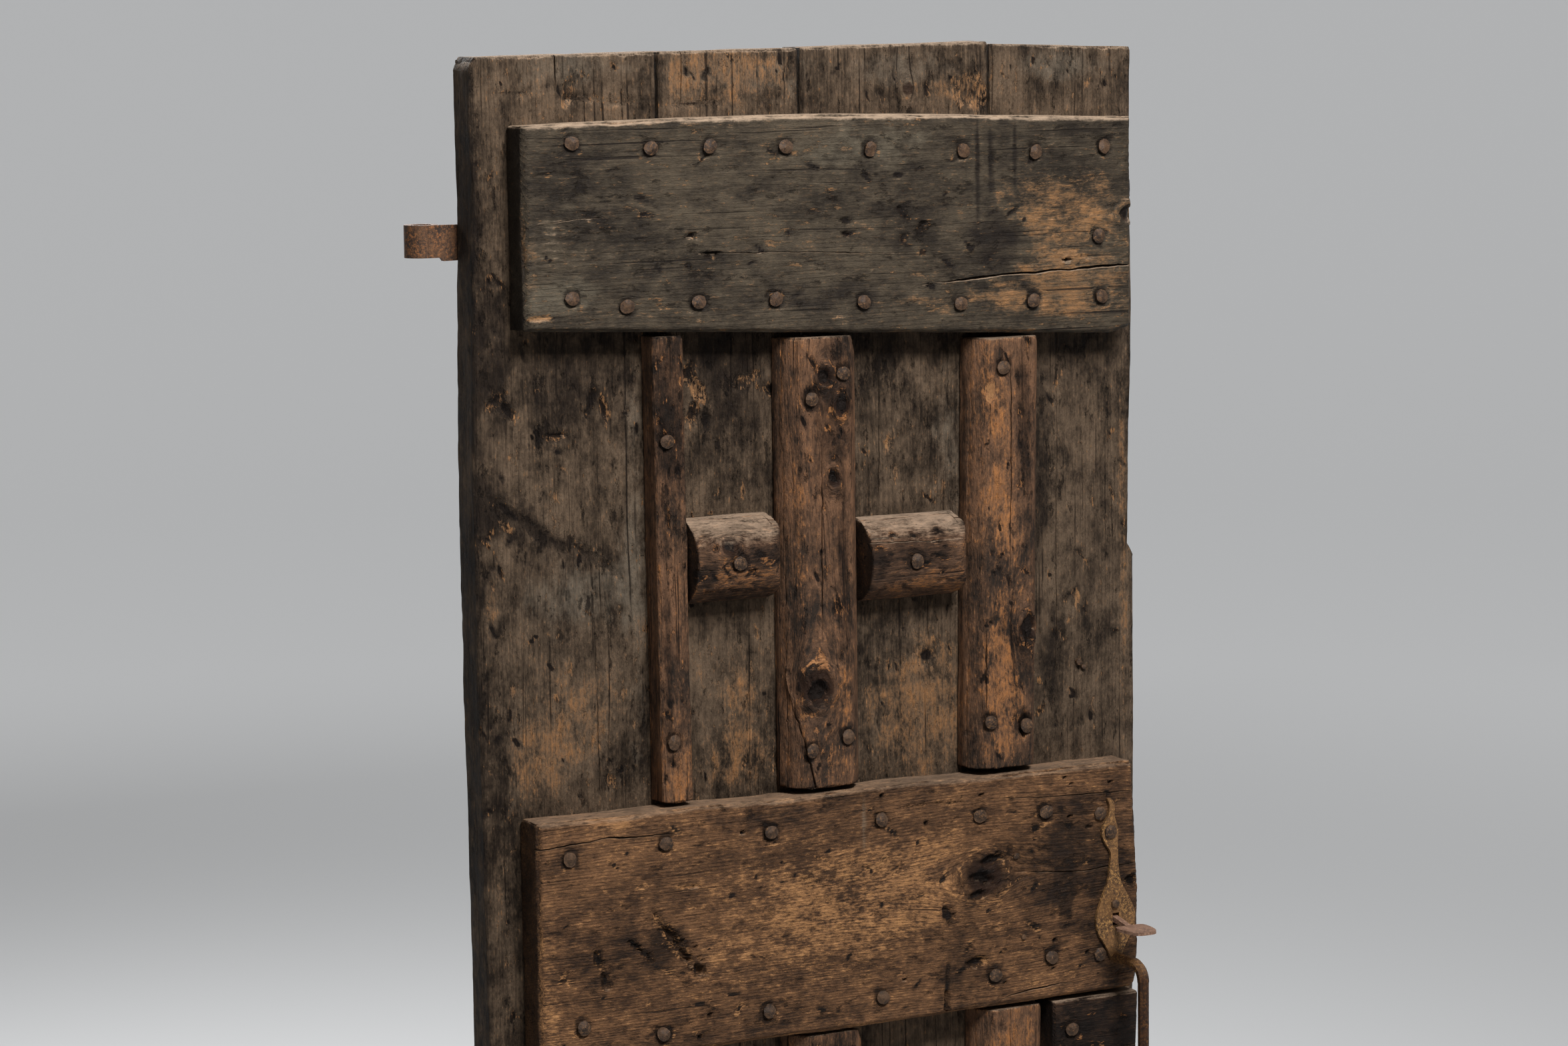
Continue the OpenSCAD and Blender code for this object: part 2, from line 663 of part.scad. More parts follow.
// Hinges: a strap on the back of the boards, rolled backwards into an eye
eye_shoulder = 3;
function hinge_nail_x(i) =
  hinge_nail_first + i * (hinge_nail_last - hinge_nail_first) / (hinge_nail_count - 1);
module hinge_nail_holes(left, right) {
  for (z = [upper_hinge_z, lower_hinge_z], i = [0 : hinge_nail_count - 1])
    if (hinge_nail_x(i) > left - nail_shank && hinge_nail_x(i) < right + nail_shank)
      translate([hinge_nail_x(i) - nail_shank / 2, board_thickness - hinge_nail_length, z - nail_shank / 2])
        cube([nail_shank, hinge_nail_length + cut, nail_shank]);
}
module hinge_strap(z) {
  strap_outline = concat(
    [[-eye_offset, -eye_height / 2], [-eye_offset / 2, -eye_height / 2]],
    [[-eye_offset / 2 + eye_shoulder, eye_height / 2 - strap_height]],
    [for (a = [-75 : 30 : 75])
      [strap_length - strap_end_height / 2 * (1 - cos(a)), strap_end_height / 2 * sin(a)]],
    [[-eye_offset, eye_height / 2]]
  );
  color([0.3, 0.2, 0.12]) place() translate([0, 0, z]) difference() {
    union() {
      upright(strap_outline, board_thickness, board_thickness + hinge_iron);
      translate([-eye_offset, eye_y, -eye_height / 2]) cylinder(r = eye_radius, h = eye_height);
    }
    translate([-eye_offset, eye_y, -eye_height / 2 - cut]) cylinder(d = eye_bore, h = eye_height + 2 * cut);
    for (i = [0 : hinge_nail_count - 1])
      translate([hinge_nail_x(i) - nail_shank / 2, board_thickness - cut, -nail_shank / 2])
        cube([nail_shank, hinge_iron + 2 * cut, nail_shank]);
  }
}
module upper_hinge_strap() { hinge_strap(upper_hinge_z); }
module lower_hinge_strap() { hinge_strap(lower_hinge_z); }
module hinge_nails() {
  color([0.24, 0.17, 0.13]) place()
    for (z = [upper_hinge_z, lower_hinge_z], i = [0 : hinge_nail_count - 1])
      translate([hinge_nail_x(i), board_thickness + hinge_iron, z]) mirror([0, 1, 0])
        driven_nail(0, 0, 0, hinge_iron + hinge_nail_length, i * nail_turn, hinge_nail_head);
}

// Latch handle: stem, pear-shaped plate, grip and lower cusp, forged as one
plate_stations = [
  [-50, 0, 0.24], [-31, 0, 0.55], [-17, 0, 0.87], [0, 0, 1], [14, 0, 0.9], [31, -1, 0.62],
  [49, -2, 0.33], [73, -2, 0.2], [86, -2, 0.19], [98, -6, 0.32], [110, -8, 0.42], [121, -8, 0.34],
  [132, -6, 0.16], [145, -5, 0.13], [154, -9, 0.1]
];
plate_left = [for (s = plate_stations) [s[1] - s[2] * plate_half_width, s[0]]];
plate_right = [for (s = plate_stations) [s[1] + s[2] * plate_half_width, s[0]]];
plate_outline = concat(smooth(plate_right, 3), backwards(smooth(plate_left, 3)));
cusp_outline = concat(
  [for (a = [-90 : 30 : 60])
    [cusp_half_width * cos(a), -cusp_nail_drop + cusp_half_width * sin(a)]],
  [[cusp_neck, 0], [cusp_neck, cusp_neck], [-cusp_neck, cusp_neck], [-cusp_neck, 0]],
  [for (a = [120 : 30 : 240])
    [cusp_half_width * cos(a), -cusp_nail_drop + cusp_half_width * sin(a)]]
);
plate_slot_play = 1;
plate_slot_height = 2 * (pivot_boss + plate_slot_play);
plate_slot_width = lever_width + 2 * plate_slot_play;

// An eight-sided bar, a little thicker where it was bent hot
bend_swell = 0.8;
module bar_section(width) { rotate(22.5) circle(d = width / cos(22.5), $fn = 8); }
module grip_arm(z, foot) {
  translate([latch_x, foot, z])
    rotate([90, 0, 0]) linear_extrude(foot - grip_y - grip_bend) bar_section(grip_bar);
}
module grip_corner() {
  rotate_extrude(angle = 90) translate([grip_bend, 0]) bar_section(grip_bar + bend_swell);
}
module latch_handle() {
  color([0.42, 0.3, 0.18]) place() difference() {
    union() {
      translate([latch_x, 0, latch_z]) upright(plate_outline, plate_front, plate_back);
      translate([latch_x, 0, grip_low]) upright(cusp_outline, plate_front, plate_back);
      grip_arm(grip_high, plate_back);
      grip_arm(grip_low, plate_back);
      translate([latch_x, grip_y, grip_low + grip_bend])
        linear_extrude(grip_length - 2 * grip_bend) bar_section(grip_bar);
      translate([latch_x, grip_y + grip_bend, grip_high - grip_bend]) rotate([90, 0, -90]) grip_corner();
      translate([latch_x, grip_y + grip_bend, grip_low + grip_bend]) rotate([-90, 0, -90]) grip_corner();
    }
    translate([latch_x - plate_slot_width / 2, plate_front - cut, latch_z - plate_slot_height / 2])
      cube([plate_slot_width, plate_thickness + 2 * cut, plate_slot_height]);
    latch_nail_holes();
    cusp_nail_hole();
  }
}

// Latch nails: two hold the stem, one the plate, one the foot of the plate, one the lower cusp
latch_nail_places = [latch_stem_nail, latch_side_nail, latch_plate_nail, latch_foot_nail];
module latch_nail_holes() {
  for (p = latch_nail_places)
    translate([latch_x + p[0] - latch_shank / 2, plate_front - cut, latch_z + p[1] - latch_shank / 2])
      cube([latch_shank, plate_thickness + latch_nail_length + cut, latch_shank]);
}
module cusp_nail_hole() {
  translate([latch_x - latch_shank / 2, plate_front - cut, grip_low - cusp_nail_drop - latch_shank / 2])
    cube([latch_shank, plate_thickness + latch_nail_length + cut, latch_shank]);
}
module latch_nails() {
  end = plate_back + latch_nail_length;
  color([0.28, 0.18, 0.12]) place() {
    for (p = [latch_stem_nail, latch_plate_nail])
      driven_nail(latch_x + p[0], latch_z + p[1], plate_front, end, 0,
        p == latch_plate_nail ? latch_rivet_head : latch_nail_head, latch_shank);
    for (p = [latch_side_nail, latch_foot_nail])
      driven_nail(latch_x + p[0], latch_z + p[1], plate_back, end, nail_turn, latch_nail_head, latch_shank);
    driven_nail(latch_x, grip_low - cusp_nail_drop, plate_front, end, 0, latch_nail_head, latch_shank);
  }
}

// The way of the lever through the leaf, and the groove for its pin
module lever_mortise() {
  width = lever_width + 2 * mortise_side;
  translate([latch_x - width / 2, plate_back - cut, latch_z - mortise_low])
    cube([width, board_thickness - plate_back + 2 * cut, mortise_low + mortise_high]);
}
pin_seat = 0.1;
module pivot_groove() {
  width = pivot_pin + 2 * pin_seat;
  translate([latch_x - pivot_pin_length / 2 - pin_seat, pivot_y, latch_z]) {
    rotate([0, 90, 0]) cylinder(d = width, h = pivot_pin_length + 2 * pin_seat);
    translate([0, -pivot_depth - cut, -width / 2])
      cube([pivot_pin_length + 2 * pin_seat, pivot_depth + cut, width]);
  }
}
module thumb_pivot_pin() {
  color([0.35, 0.3, 0.26]) place()
    translate([latch_x - pivot_pin_length / 2, pivot_y, latch_z])
      rotate([0, 90, 0]) cylinder(d = pivot_pin, h = pivot_pin_length);
}

// Thumb lever: a leaf for the thumb, a neck through the plate and a tail under the bar
thumb_dip = 5;
thumb_shoulder = 3;
thumb_root = 12;
tail_tip = 5;
tail_taper = 30;
neck_step = 1;
neck_height = lever_height - 2 * neck_step;
thumb_front = plate_front - thumb_reach;
thumb_back = thumb_front + thumb_length;
module thumb_lever() {
  half = lever_width / 2;
  thumb_outline = smooth([
    [half, thumb_back + thumb_root], [half, thumb_back + thumb_shoulder], [thumb_width / 2, thumb_back],
    [thumb_width / 2, thumb_back - thumb_length / 2], [thumb_width / 3, thumb_front + thumb_shoulder],
    [0, thumb_front], [-thumb_width / 3, thumb_front + thumb_shoulder],
    [-thumb_width / 2, thumb_back - thumb_length / 2], [-thumb_width / 2, thumb_back],
    [-half, thumb_back + thumb_shoulder], [-half, thumb_back + thumb_root]
  ], 3);
  side_outline = [
    [thumb_back, -thumb_dip - thumb_thickness / 2], [thumb_back, -thumb_dip + thumb_thickness / 2],
    [plate_front, neck_height / 2], [pivot_y, lever_height / 2], [lever_tail, lever_height / 2],
    [lever_tail, lever_height / 2 - tail_tip], [pivot_y + tail_taper, -lever_height / 2],
    [pivot_y, -lever_height / 2], [plate_front, -neck_height / 2]
  ];
  color([0.55, 0.4, 0.33]) place() translate([latch_x, 0, latch_z]) difference() {
    union() {
      translate([0, 0, -thumb_dip - thumb_thickness / 2])
        linear_extrude(thumb_thickness) polygon(thumb_outline);
      translate([-half, 0, 0]) rotate([90, 0, 90]) linear_extrude(lever_width) polygon(side_outline);
      translate([-half, pivot_y, 0]) rotate([0, 90, 0]) cylinder(r = pivot_boss, h = lever_width);
    }
    translate([-half - cut, pivot_y, 0])
      rotate([0, 90, 0]) cylinder(d = pivot_pin + 2 * clearance, h = lever_width + 2 * cut);
  }
}

// Latch bar: lies across the back, turns on its stud and runs in its staple
nose_slope = [6, 8];
nose_taper = [30, 7];
module latch_bar() {
  half = bar_height / 2;
  outline = [
    [bar_pivot_x, -half], [bar_end - nose_slope[0], -half], [bar_end, -half + nose_slope[1]],
    [bar_end, half - nose_taper[1]], [bar_end - nose_taper[0], half], [bar_pivot_x, half]
  ];
  color([0.3, 0.22, 0.16]) place() translate([0, 0, bar_z]) difference() {
    union() {
      upright(outline, bar_front, bar_back);
      translate([bar_pivot_x, bar_back, 0]) rotate([90, 0, 0]) cylinder(r = bar_boss, h = bar_thickness);
    }
    translate([bar_pivot_x, bar_back + cut, 0])
      rotate([90, 0, 0]) cylinder(d = bar_stud + 2 * clearance, h = bar_thickness + 2 * cut);
  }
}
stud_head = 22;
stud_head_height = 5;
module bar_stud_hole() {
  translate([bar_pivot_x, board_thickness + cut, bar_z])
    rotate([90, 0, 0]) cylinder(d = bar_stud, h = bar_stud_depth + cut);
}
module bar_pivot_stud() {
  color([0.26, 0.2, 0.16]) place() translate([bar_pivot_x, 0, bar_z]) rotate([90, 0, 0]) {
    translate([0, 0, -bar_back - clearance])
      cylinder(d = bar_stud, h = bar_back + clearance - board_thickness + bar_stud_depth);
    translate([0, 0, -bar_back - clearance - stud_head_height]) cylinder(d = stud_head, h = stud_head_height);
  }
}

// Staple: a square iron bent round the bar, with both legs driven into the board
staple_shoulder = 1;
module staple_legs(front) {
  for (z = [staple_low - staple_iron, staple_high])
    translate([staple_x, front, z]) cube([staple_iron, staple_face - front, staple_iron]);
}
module staple_holes() { staple_legs(board_thickness - staple_depth); }
module bar_staple() {
  color([0.28, 0.21, 0.16]) place() {
    staple_legs(board_thickness - staple_depth);
    translate([staple_x, staple_face, staple_low - staple_iron - staple_shoulder])
      cube([staple_iron, staple_iron, staple_high - staple_low + 2 * (staple_iron + staple_shoulder)]);
  }
}

hinge_board();
second_board();
third_board();
latch_board();
top_ledge();
middle_ledge();
bottom_ledge();
upper_first_strip();
upper_second_strip();
upper_third_strip();
lower_first_strip();
lower_second_strip();
lower_third_strip();
left_block();
right_block();
lock_block();
top_ledge_nails();
middle_ledge_nails();
bottom_ledge_nails();
strip_nails();
block_nails();
upper_hinge_strap();
lower_hinge_strap();
hinge_nails();
latch_handle();
latch_nails();
thumb_pivot_pin();
thumb_lever();
latch_bar();
bar_pivot_stud();
bar_staple();
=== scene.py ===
"""An old door leaf of heavy pine planks, ledged, nailed and hung on forged iron."""

import math

import bpy
import numpy as np
from mathutils import Matrix, Vector
from mathutils.bvhtree import BVHTree


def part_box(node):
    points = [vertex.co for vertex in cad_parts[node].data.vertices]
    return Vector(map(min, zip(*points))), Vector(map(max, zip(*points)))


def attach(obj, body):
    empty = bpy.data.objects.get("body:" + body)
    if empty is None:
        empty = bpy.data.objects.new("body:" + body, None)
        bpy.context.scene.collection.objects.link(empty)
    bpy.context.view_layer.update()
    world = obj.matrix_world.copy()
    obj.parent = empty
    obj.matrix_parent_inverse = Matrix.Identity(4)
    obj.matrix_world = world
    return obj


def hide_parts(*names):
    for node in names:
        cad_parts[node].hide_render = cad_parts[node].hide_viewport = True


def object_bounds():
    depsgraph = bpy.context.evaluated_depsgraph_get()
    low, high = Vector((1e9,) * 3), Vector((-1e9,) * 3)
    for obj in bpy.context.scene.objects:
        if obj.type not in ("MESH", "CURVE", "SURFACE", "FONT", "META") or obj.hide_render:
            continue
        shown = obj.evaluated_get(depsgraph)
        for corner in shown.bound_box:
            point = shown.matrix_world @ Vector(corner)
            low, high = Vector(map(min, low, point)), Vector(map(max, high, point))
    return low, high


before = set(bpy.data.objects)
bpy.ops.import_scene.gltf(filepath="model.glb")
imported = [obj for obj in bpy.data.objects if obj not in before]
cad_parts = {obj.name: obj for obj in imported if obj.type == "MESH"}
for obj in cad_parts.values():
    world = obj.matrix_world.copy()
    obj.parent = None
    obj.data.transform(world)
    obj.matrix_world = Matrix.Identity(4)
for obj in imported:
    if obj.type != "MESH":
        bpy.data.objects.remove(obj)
solid_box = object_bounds()

# Boards. Four broad pine planks of unequal width stand side by side and make the leaf.
# They were sawn by hand and hewn flat, and have weathered to a dark brown-grey. The ledges
# nailed across their front hold them together.

MM = 0.001
ALONG_X = 0
ALONG_Z = 2
DEPTH = 1
# Places on the timber are in millimetres from the leaf's lower corner at the hinge edge,
# which the eyes of the hinges stand off by this much.
EYE_STAND_OFF = 33.0
leaf_corner = np.array(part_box("hinge_board")[0]) / MM
leaf_corner[0] = EYE_STAND_OFF


def srgb(red, green, blue):
    """A colour as a shader takes it, from its everyday value of 0 to 255."""
    shares = [c / 255 for c in (red, green, blue)]
    return (*[s / 12.92 if s <= 0.04045 else ((s + 0.055) / 1.055) ** 2.4 for s in shares], 1.0)


def eased(t):
    """A smooth rise from 0 to 1."""
    t = np.clip(t, 0, 1)
    return t * t * (3 - 2 * t)


# What makes the corners of the noise below look unrelated to each other.
SCATTER_U = 127.1
SCATTER_V = 311.7
SCATTER_SEED = 74.7
SCATTER_GAIN = 43758.5453


def wander(u, v, seed):
    """Smooth noise from -1 to 1 over a plane, the same at each run."""
    u, v = np.broadcast_arrays(np.asarray(u, float), np.asarray(v, float))
    low_u, low_v = np.floor(u), np.floor(v)
    share_u, share_v = eased(u - low_u), eased(v - low_v)

    def corner(step_u, step_v):
        phase = (low_u + step_u) * SCATTER_U + (low_v + step_v) * SCATTER_V + seed * SCATTER_SEED
        value = np.sin(phase) * SCATTER_GAIN
        return 2 * (value - np.floor(value)) - 1

    near = corner(0, 0) * (1 - share_u) + corner(1, 0) * share_u
    far = corner(0, 1) * (1 - share_u) + corner(1, 1) * share_u
    return near * (1 - share_v) + far * share_v


def crack(path, wide, deep):
    """A drying crack that follows the grain through these places, open by wide and deep."""
    return {"path": path, "wide": wide, "deep": deep}


def gouge(place, size, deep, turn=0, bare=0.3, dirt_and_shade=0.5, ragged=0.6):
    """A knock or cut in the face, bare or dark with dirt and painted shade inside. Size is its half length
    and width.
    """
    look = {"turn": turn, "bare": bare, "dirt_and_shade": dirt_and_shade, "ragged": ragged}
    return {"place": place, "size": size, "deep": deep, **look}


def knot(place, radius, rise=0.5):
    """A branch's end in the face, with the grain flowing round it."""
    return {"place": place, "radius": radius, "rise": rise}


def stain(kind, place, size, amount=1.0, turn=0, ragged=0.5):
    """A patch of one kind: rub, soot with painted shade, grey or ripple. Size is half its length and half
    its width.
    """
    return {"kind": kind, "place": place, "size": size, "amount": amount, "turn": turn, "ragged": ragged}


NICK_HALF_LENGTH = (3.5, 15)
NICK_HALF_WIDTH = (2.0, 5.2)
NICK_DEPTH_SHARE = (0.4, 1)
NICK_TURN = (-60, 60)
NICK_BARE = (0, 0.7)
NICK_DIRT_AND_SHADE = (0.2, 1.0)


def nicks(seed, low, high, count, deep=1.8):
    """Small dents, scratches and worm holes scattered over a face between two corners."""
    draw = np.random.default_rng(seed)
    marks = []
    for _ in range(count):
        place = tuple(draw.uniform(low, high))
        size = (draw.uniform(*NICK_HALF_LENGTH), draw.uniform(*NICK_HALF_WIDTH))
        depth = deep * draw.uniform(*NICK_DEPTH_SHARE)
        turn, bare, dirt_and_shade = (draw.uniform(*span) for span in (NICK_TURN, NICK_BARE, NICK_DIRT_AND_SHADE))
        marks.append(gouge(place, size, depth, turn=turn, bare=bare, dirt_and_shade=dirt_and_shade))
    return marks


MARK_REACH = 2.2


def within(x, z, mark):
    """Which places a mark can reach."""
    reach = MARK_REACH * max(mark["size"])
    return (np.abs(x - mark["place"][0]) < reach) & (np.abs(z - mark["place"][1]) < reach)


def spread(x, z, mark, along, seed):
    """How far a place lies from a mark's middle, 1 at its ragged rim."""
    angle = math.radians(mark["turn"])
    dx, dz = x - mark["place"][0], z - mark["place"][1]
    grain, cross = (dx, dz) if along == ALONG_X else (dz, dx)
    p = grain * math.cos(angle) + cross * math.sin(angle)
    q = cross * math.cos(angle) - grain * math.sin(angle)
    long_half, wide_half = mark["size"]
    rough = wander(p / (0.35 * long_half), q / (0.35 * wide_half), seed)
    rough = rough + 0.6 * wander(p / 9, q / 2.6, seed + 3)
    return np.hypot(p / long_half, q / wide_half) * (1 + 0.5 * mark["ragged"] * rough)


RIM_LINES = (0, 1.0, 2.4, 4.4, 7.2)
RIM_COUNT = len(RIM_LINES)


def lattice_lines(length, pitch, plain_to=0.0, plain_pitch=14.0):
    """Lattice lines over a length, closer together by the two rims, and wider apart up to plain_to."""
    rim = np.array(RIM_LINES)
    start = max(plain_to, rim[-1])
    plain = np.linspace(rim[-1], start, max(1, round((start - rim[-1]) / plain_pitch)), endpoint=False)
    plain = plain if plain_to else []
    count = max(4, round((length - rim[-1] - start) / pitch) + 1)
    inner = np.linspace(start, length - rim[-1], count)
    return np.concatenate([rim[:-1], plain, inner, length - rim[-2::-1]])


def met(solid, points, axis, sign, spare):
    """Where rays from these points along one axis meet the solid, or the spare value."""
    heading = Vector((0.0, 0.0, 0.0))
    heading[axis] = sign
    flat = points.reshape(-1, 3)
    hits = [solid.ray_cast(Vector(p), heading)[0] for p in flat]
    spares = np.broadcast_to(spare, points.shape[:-1]).reshape(-1)
    found = [s if h is None else h[axis] for h, s in zip(hits, spares)]
    return np.array(found).reshape(points.shape[:-1])


def mended(grid):
    """A grid of depths with its gaps filled from their neighbours."""
    for rows in (grid, grid.T):
        for row in rows:
            good = np.isfinite(row)
            if good.any() and not good.all():
                row[~good] = np.interp(np.flatnonzero(~good), np.flatnonzero(good), row[good])
    return grid


CRACK_END_MARGIN = 5
CRACK_FADE_SHARE = 0.3
CRACK_SETTLES = 60
CRACK_MARGIN_COLUMNS = 7
HAIRLINE_HALF = 0.35


def warped(columns, rows, cracks, along, seed):
    """Moves lattice columns onto the cracks. Gives the cracks' depth and opening on the lattice."""
    dent, slit = np.zeros_like(columns), np.zeros_like(columns)
    count = columns.shape[1]
    row_place = rows.mean(1)
    ends = row_place[0], row_place[-1]
    plans = []
    for number, each in enumerate(cracks):
        path = np.array(each["path"], float)
        path = path if along == ALONG_X else path[:, ::-1]
        path = path[np.argsort(path[:, 0])]
        start, stop = path[0, 0], path[-1, 0]
        centre = np.interp(row_place, path[:, 0], path[:, 1])
        centre = centre + 0.9 * wander(row_place / 23, number, seed)
        centre = centre + 0.4 * wander(row_place / 7, number, seed + 1)
        fade = CRACK_FADE_SHARE * (stop - start)
        from_start = 1.0 if start < ends[0] + CRACK_END_MARGIN else eased((row_place - start) / fade)
        from_stop = 1.0 if stop > ends[1] - CRACK_END_MARGIN else eased((stop - row_place) / fade)
        opening = from_start * from_stop * (0.75 + 0.25 * wander(row_place / 31, number, seed + 2))
        away = np.maximum(np.maximum(start - row_place, row_place - stop), 0)
        hold = 1 - eased(away / CRACK_SETTLES)
        middle = len(columns) // 2 if not opening.any() else int(np.argmax(opening))
        column = np.argmin(np.abs(columns[middle] - centre[middle]))
        column = int(np.clip(column, CRACK_MARGIN_COLUMNS, count - 1 - CRACK_MARGIN_COLUMNS))
        plans.append((column, centre, opening, hold, each))
    plans.sort(key=lambda plan: plan[0])
    for row in range(len(columns)):
        plain = columns[row].copy()
        stops, values = list(range(RIM_COUNT)), list(plain[:RIM_COUNT])
        for column, centre, opening, hold, each in plans:
            half = max(each["wide"] * opening[row] / 2, HAIRLINE_HALF)
            step = (plain[column + 1] - plain[column - 1]) / 2
            middle = hold[row] * centre[row] + (1 - hold[row]) * plain[column]
            half = hold[row] * half + (1 - hold[row]) * step
            stops += [column - 1, column, column + 1]
            values += [middle - half, middle, middle + half]
            dent[row, column] += each["deep"] * opening[row]
            slit[row, column] = max(slit[row, column], opening[row])
        stops += list(range(count - RIM_COUNT, count))
        values += list(plain[-RIM_COUNT:])
        columns[row] = np.interp(np.arange(count), stops, values)
    return dent, slit


NAIL_WITHIN = 26
NAIL_APART = 45
HEAD_DEPTH = 3


def driven(node):
    """Where a group's nails are driven: the middles of their heads."""
    points = np.array([v.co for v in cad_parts[node].data.vertices]) / MM - leaf_corner
    heads = []
    while len(points):
        apart = np.hypot(points[:, 0] - points[0, 0], points[:, 2] - points[0, 2])
        own = points[apart < NAIL_WITHIN]
        head = own[own[:, DEPTH] < own[:, DEPTH].min() + HEAD_DEPTH]
        heads.append((head[:, 0].mean(), head[:, 2].mean()))
        apart = np.hypot(points[:, 0] - heads[-1][0], points[:, 2] - heads[-1][1])
        points = points[apart > NAIL_APART]
    return heads


def tiles(grid, turned):
    """Quads over a grid of point numbers."""
    quads = np.stack([grid[:-1, :-1], grid[1:, :-1], grid[1:, 1:], grid[:-1, 1:]], -1).reshape(-1, 4)
    return quads[:, ::-1] if turned else quads


def on_leaf(mesh, node, material, sharp_angle):
    """Puts a mesh on the leaf in place of the node's solid."""
    mesh.shade_smooth()
    mesh.set_sharp_from_angle(angle=math.radians(sharp_angle))
    mesh.materials.append(material)
    piece = bpy.data.objects.new(mesh.name, mesh)
    bpy.context.scene.collection.objects.link(piece)
    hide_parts(node)
    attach(piece, "leaf")


NAIL_SEAT = 1.9
NAIL_SEAT_RADIUS = 9.5
NAIL_SEAT_SLOPE = 5
RIPPLE_PITCH = 1.35


def from_nail(x, z, nail, seed):
    """How far a place lies from a nail, in a square with ragged round corners."""
    off = np.cbrt(np.abs(x - nail[0]) ** 3 + np.abs(z - nail[1]) ** 3)
    return off * (1 + 0.25 * wander(x / 9, z / 9, seed + 30))


def knocked(a, s, along, seed, gouges, nails, knots, ripples):
    """How deep knocks, the seats of nails, knots and ripples lie in the front."""
    x, z = (s, a) if along == ALONG_X else (a, s)
    dent = np.zeros_like(a)
    for number, mark in enumerate(gouges):
        own = within(x, z, mark)
        off = spread(x[own], z[own], mark, along, seed + number)
        lip = 0.22 * np.exp(-((off - 1.2) / 0.25) ** 2)
        dent[own] += mark["deep"] * (eased(2.2 * (1 - off)) - lip)
    for nail in nails:
        off = from_nail(x, z, nail, seed)
        dent += NAIL_SEAT * (1 - eased((off - NAIL_SEAT_RADIUS) / NAIL_SEAT_SLOPE))
    for mark in knots:
        reach = np.hypot(x - mark["place"][0], z - mark["place"][1]) / mark["radius"]
        reach *= 1 + 0.16 * wander(x / 8, z / 8, seed + 32)
        core = eased(1.5 - 1.6 * reach)
        rough = wander(x / 5, z / 5, seed + 33) + 0.7 * wander(x / 2.6, z / 2.6, seed + 34)
        collar = np.exp(-((reach - 1.0) / 0.3) ** 2)
        dent -= mark["rise"] * (collar + 0.3 * core - 0.45 * core * rough)
    for mark in ripples:
        inside = eased(1.4 - spread(x, z, mark, along, seed + 35))
        wave = a / RIPPLE_PITCH + 4.0 * wander(s / 26, a / 18, seed + 36)
        dent += mark["amount"] * inside * (0.5 + 0.5 * np.sin(wave))
    return dent


def rounded(point, axes, to_rim, inward, wear, seed):
    """Wears the arrises round. Gives how worn each point is, and the broad and the fine unevenness of it."""
    along, across, _ = axes
    broad = wander(point[:, along] / 38, point[:, across] / 38 + point[:, DEPTH] / 38, seed + 8)
    fine = wander(point[:, along] / 11, point[:, across] / 11 + point[:, DEPTH] / 11, seed + 9)
    radius = wear * (1.0 + 0.55 * broad + 0.3 * fine)
    lack = [np.maximum(radius - rim, 0) for rim in to_rim]
    total = np.maximum(np.sqrt(sum(v * v for v in lack)), 1e-6)
    arris = eased(1.5 * np.sort(np.stack(lack), 0)[1] / np.maximum(radius, 0.1))
    for axis, v, rim, way in zip(axes, lack, to_rim, inward):
        point[:, axis] += way * np.where(v > 0, radius - radius * v / total - rim, 0)
    return arris, broad, fine


GRAIN_APART = 300
DEPTH_APART = 90


def grained(point, along, seed, pith, knots):
    """The grain, which flows round knots, the year rings round the pith, and masks of the knots, of
    their hollow cores and of their torn rims. Each knot comes with how near the points are to its face."""
    place_a, grain_s, depth = point[:, 2 - along], point[:, along], point[:, DEPTH]
    grain_a = place_a.copy()
    mask, core, rim = np.zeros((3, len(point)))
    for mark, near in knots:
        middle_s, middle_a = mark["place"] if along == ALONG_X else mark["place"][::-1]
        p, q = (grain_s - middle_s) * 0.5, place_a - middle_a
        close_in = mark["radius"] ** 2 / (p * p + q * q + 0.35 * mark["radius"] ** 2)
        grain_a -= 0.85 * q * np.clip(close_in, 0, 1) * near
        reach = np.hypot(2 * p, q) / mark["radius"]
        reach *= 1 + 0.16 * wander(point[:, 0] / 8, point[:, 2] / 8, seed + 32)
        frayed = wander(point[:, 0] / 7, point[:, 2] / 7, seed + 38)
        mask = np.maximum(mask, near * eased(1.9 - 1.7 * reach))
        core = np.maximum(core, near * eased(1.1 - 1.5 * reach + 0.4 * frayed))
        rim = np.maximum(rim, near * eased(1.4 - 5 * np.abs(reach - 1.2) + frayed))
    grain_a += 3.0 * wander(grain_s / 170, place_a / 90, seed + 11)
    grain = np.stack([grain_a + GRAIN_APART * seed, grain_s, depth + DEPTH_APART * seed], 1) * MM
    ring = np.hypot(grain_a - pith[0], depth - pith[1])
    ring += 1.4 * wander(grain_s / 120, grain_a / 30, seed + 12)
    return grain, ring * MM, mask, core, rim


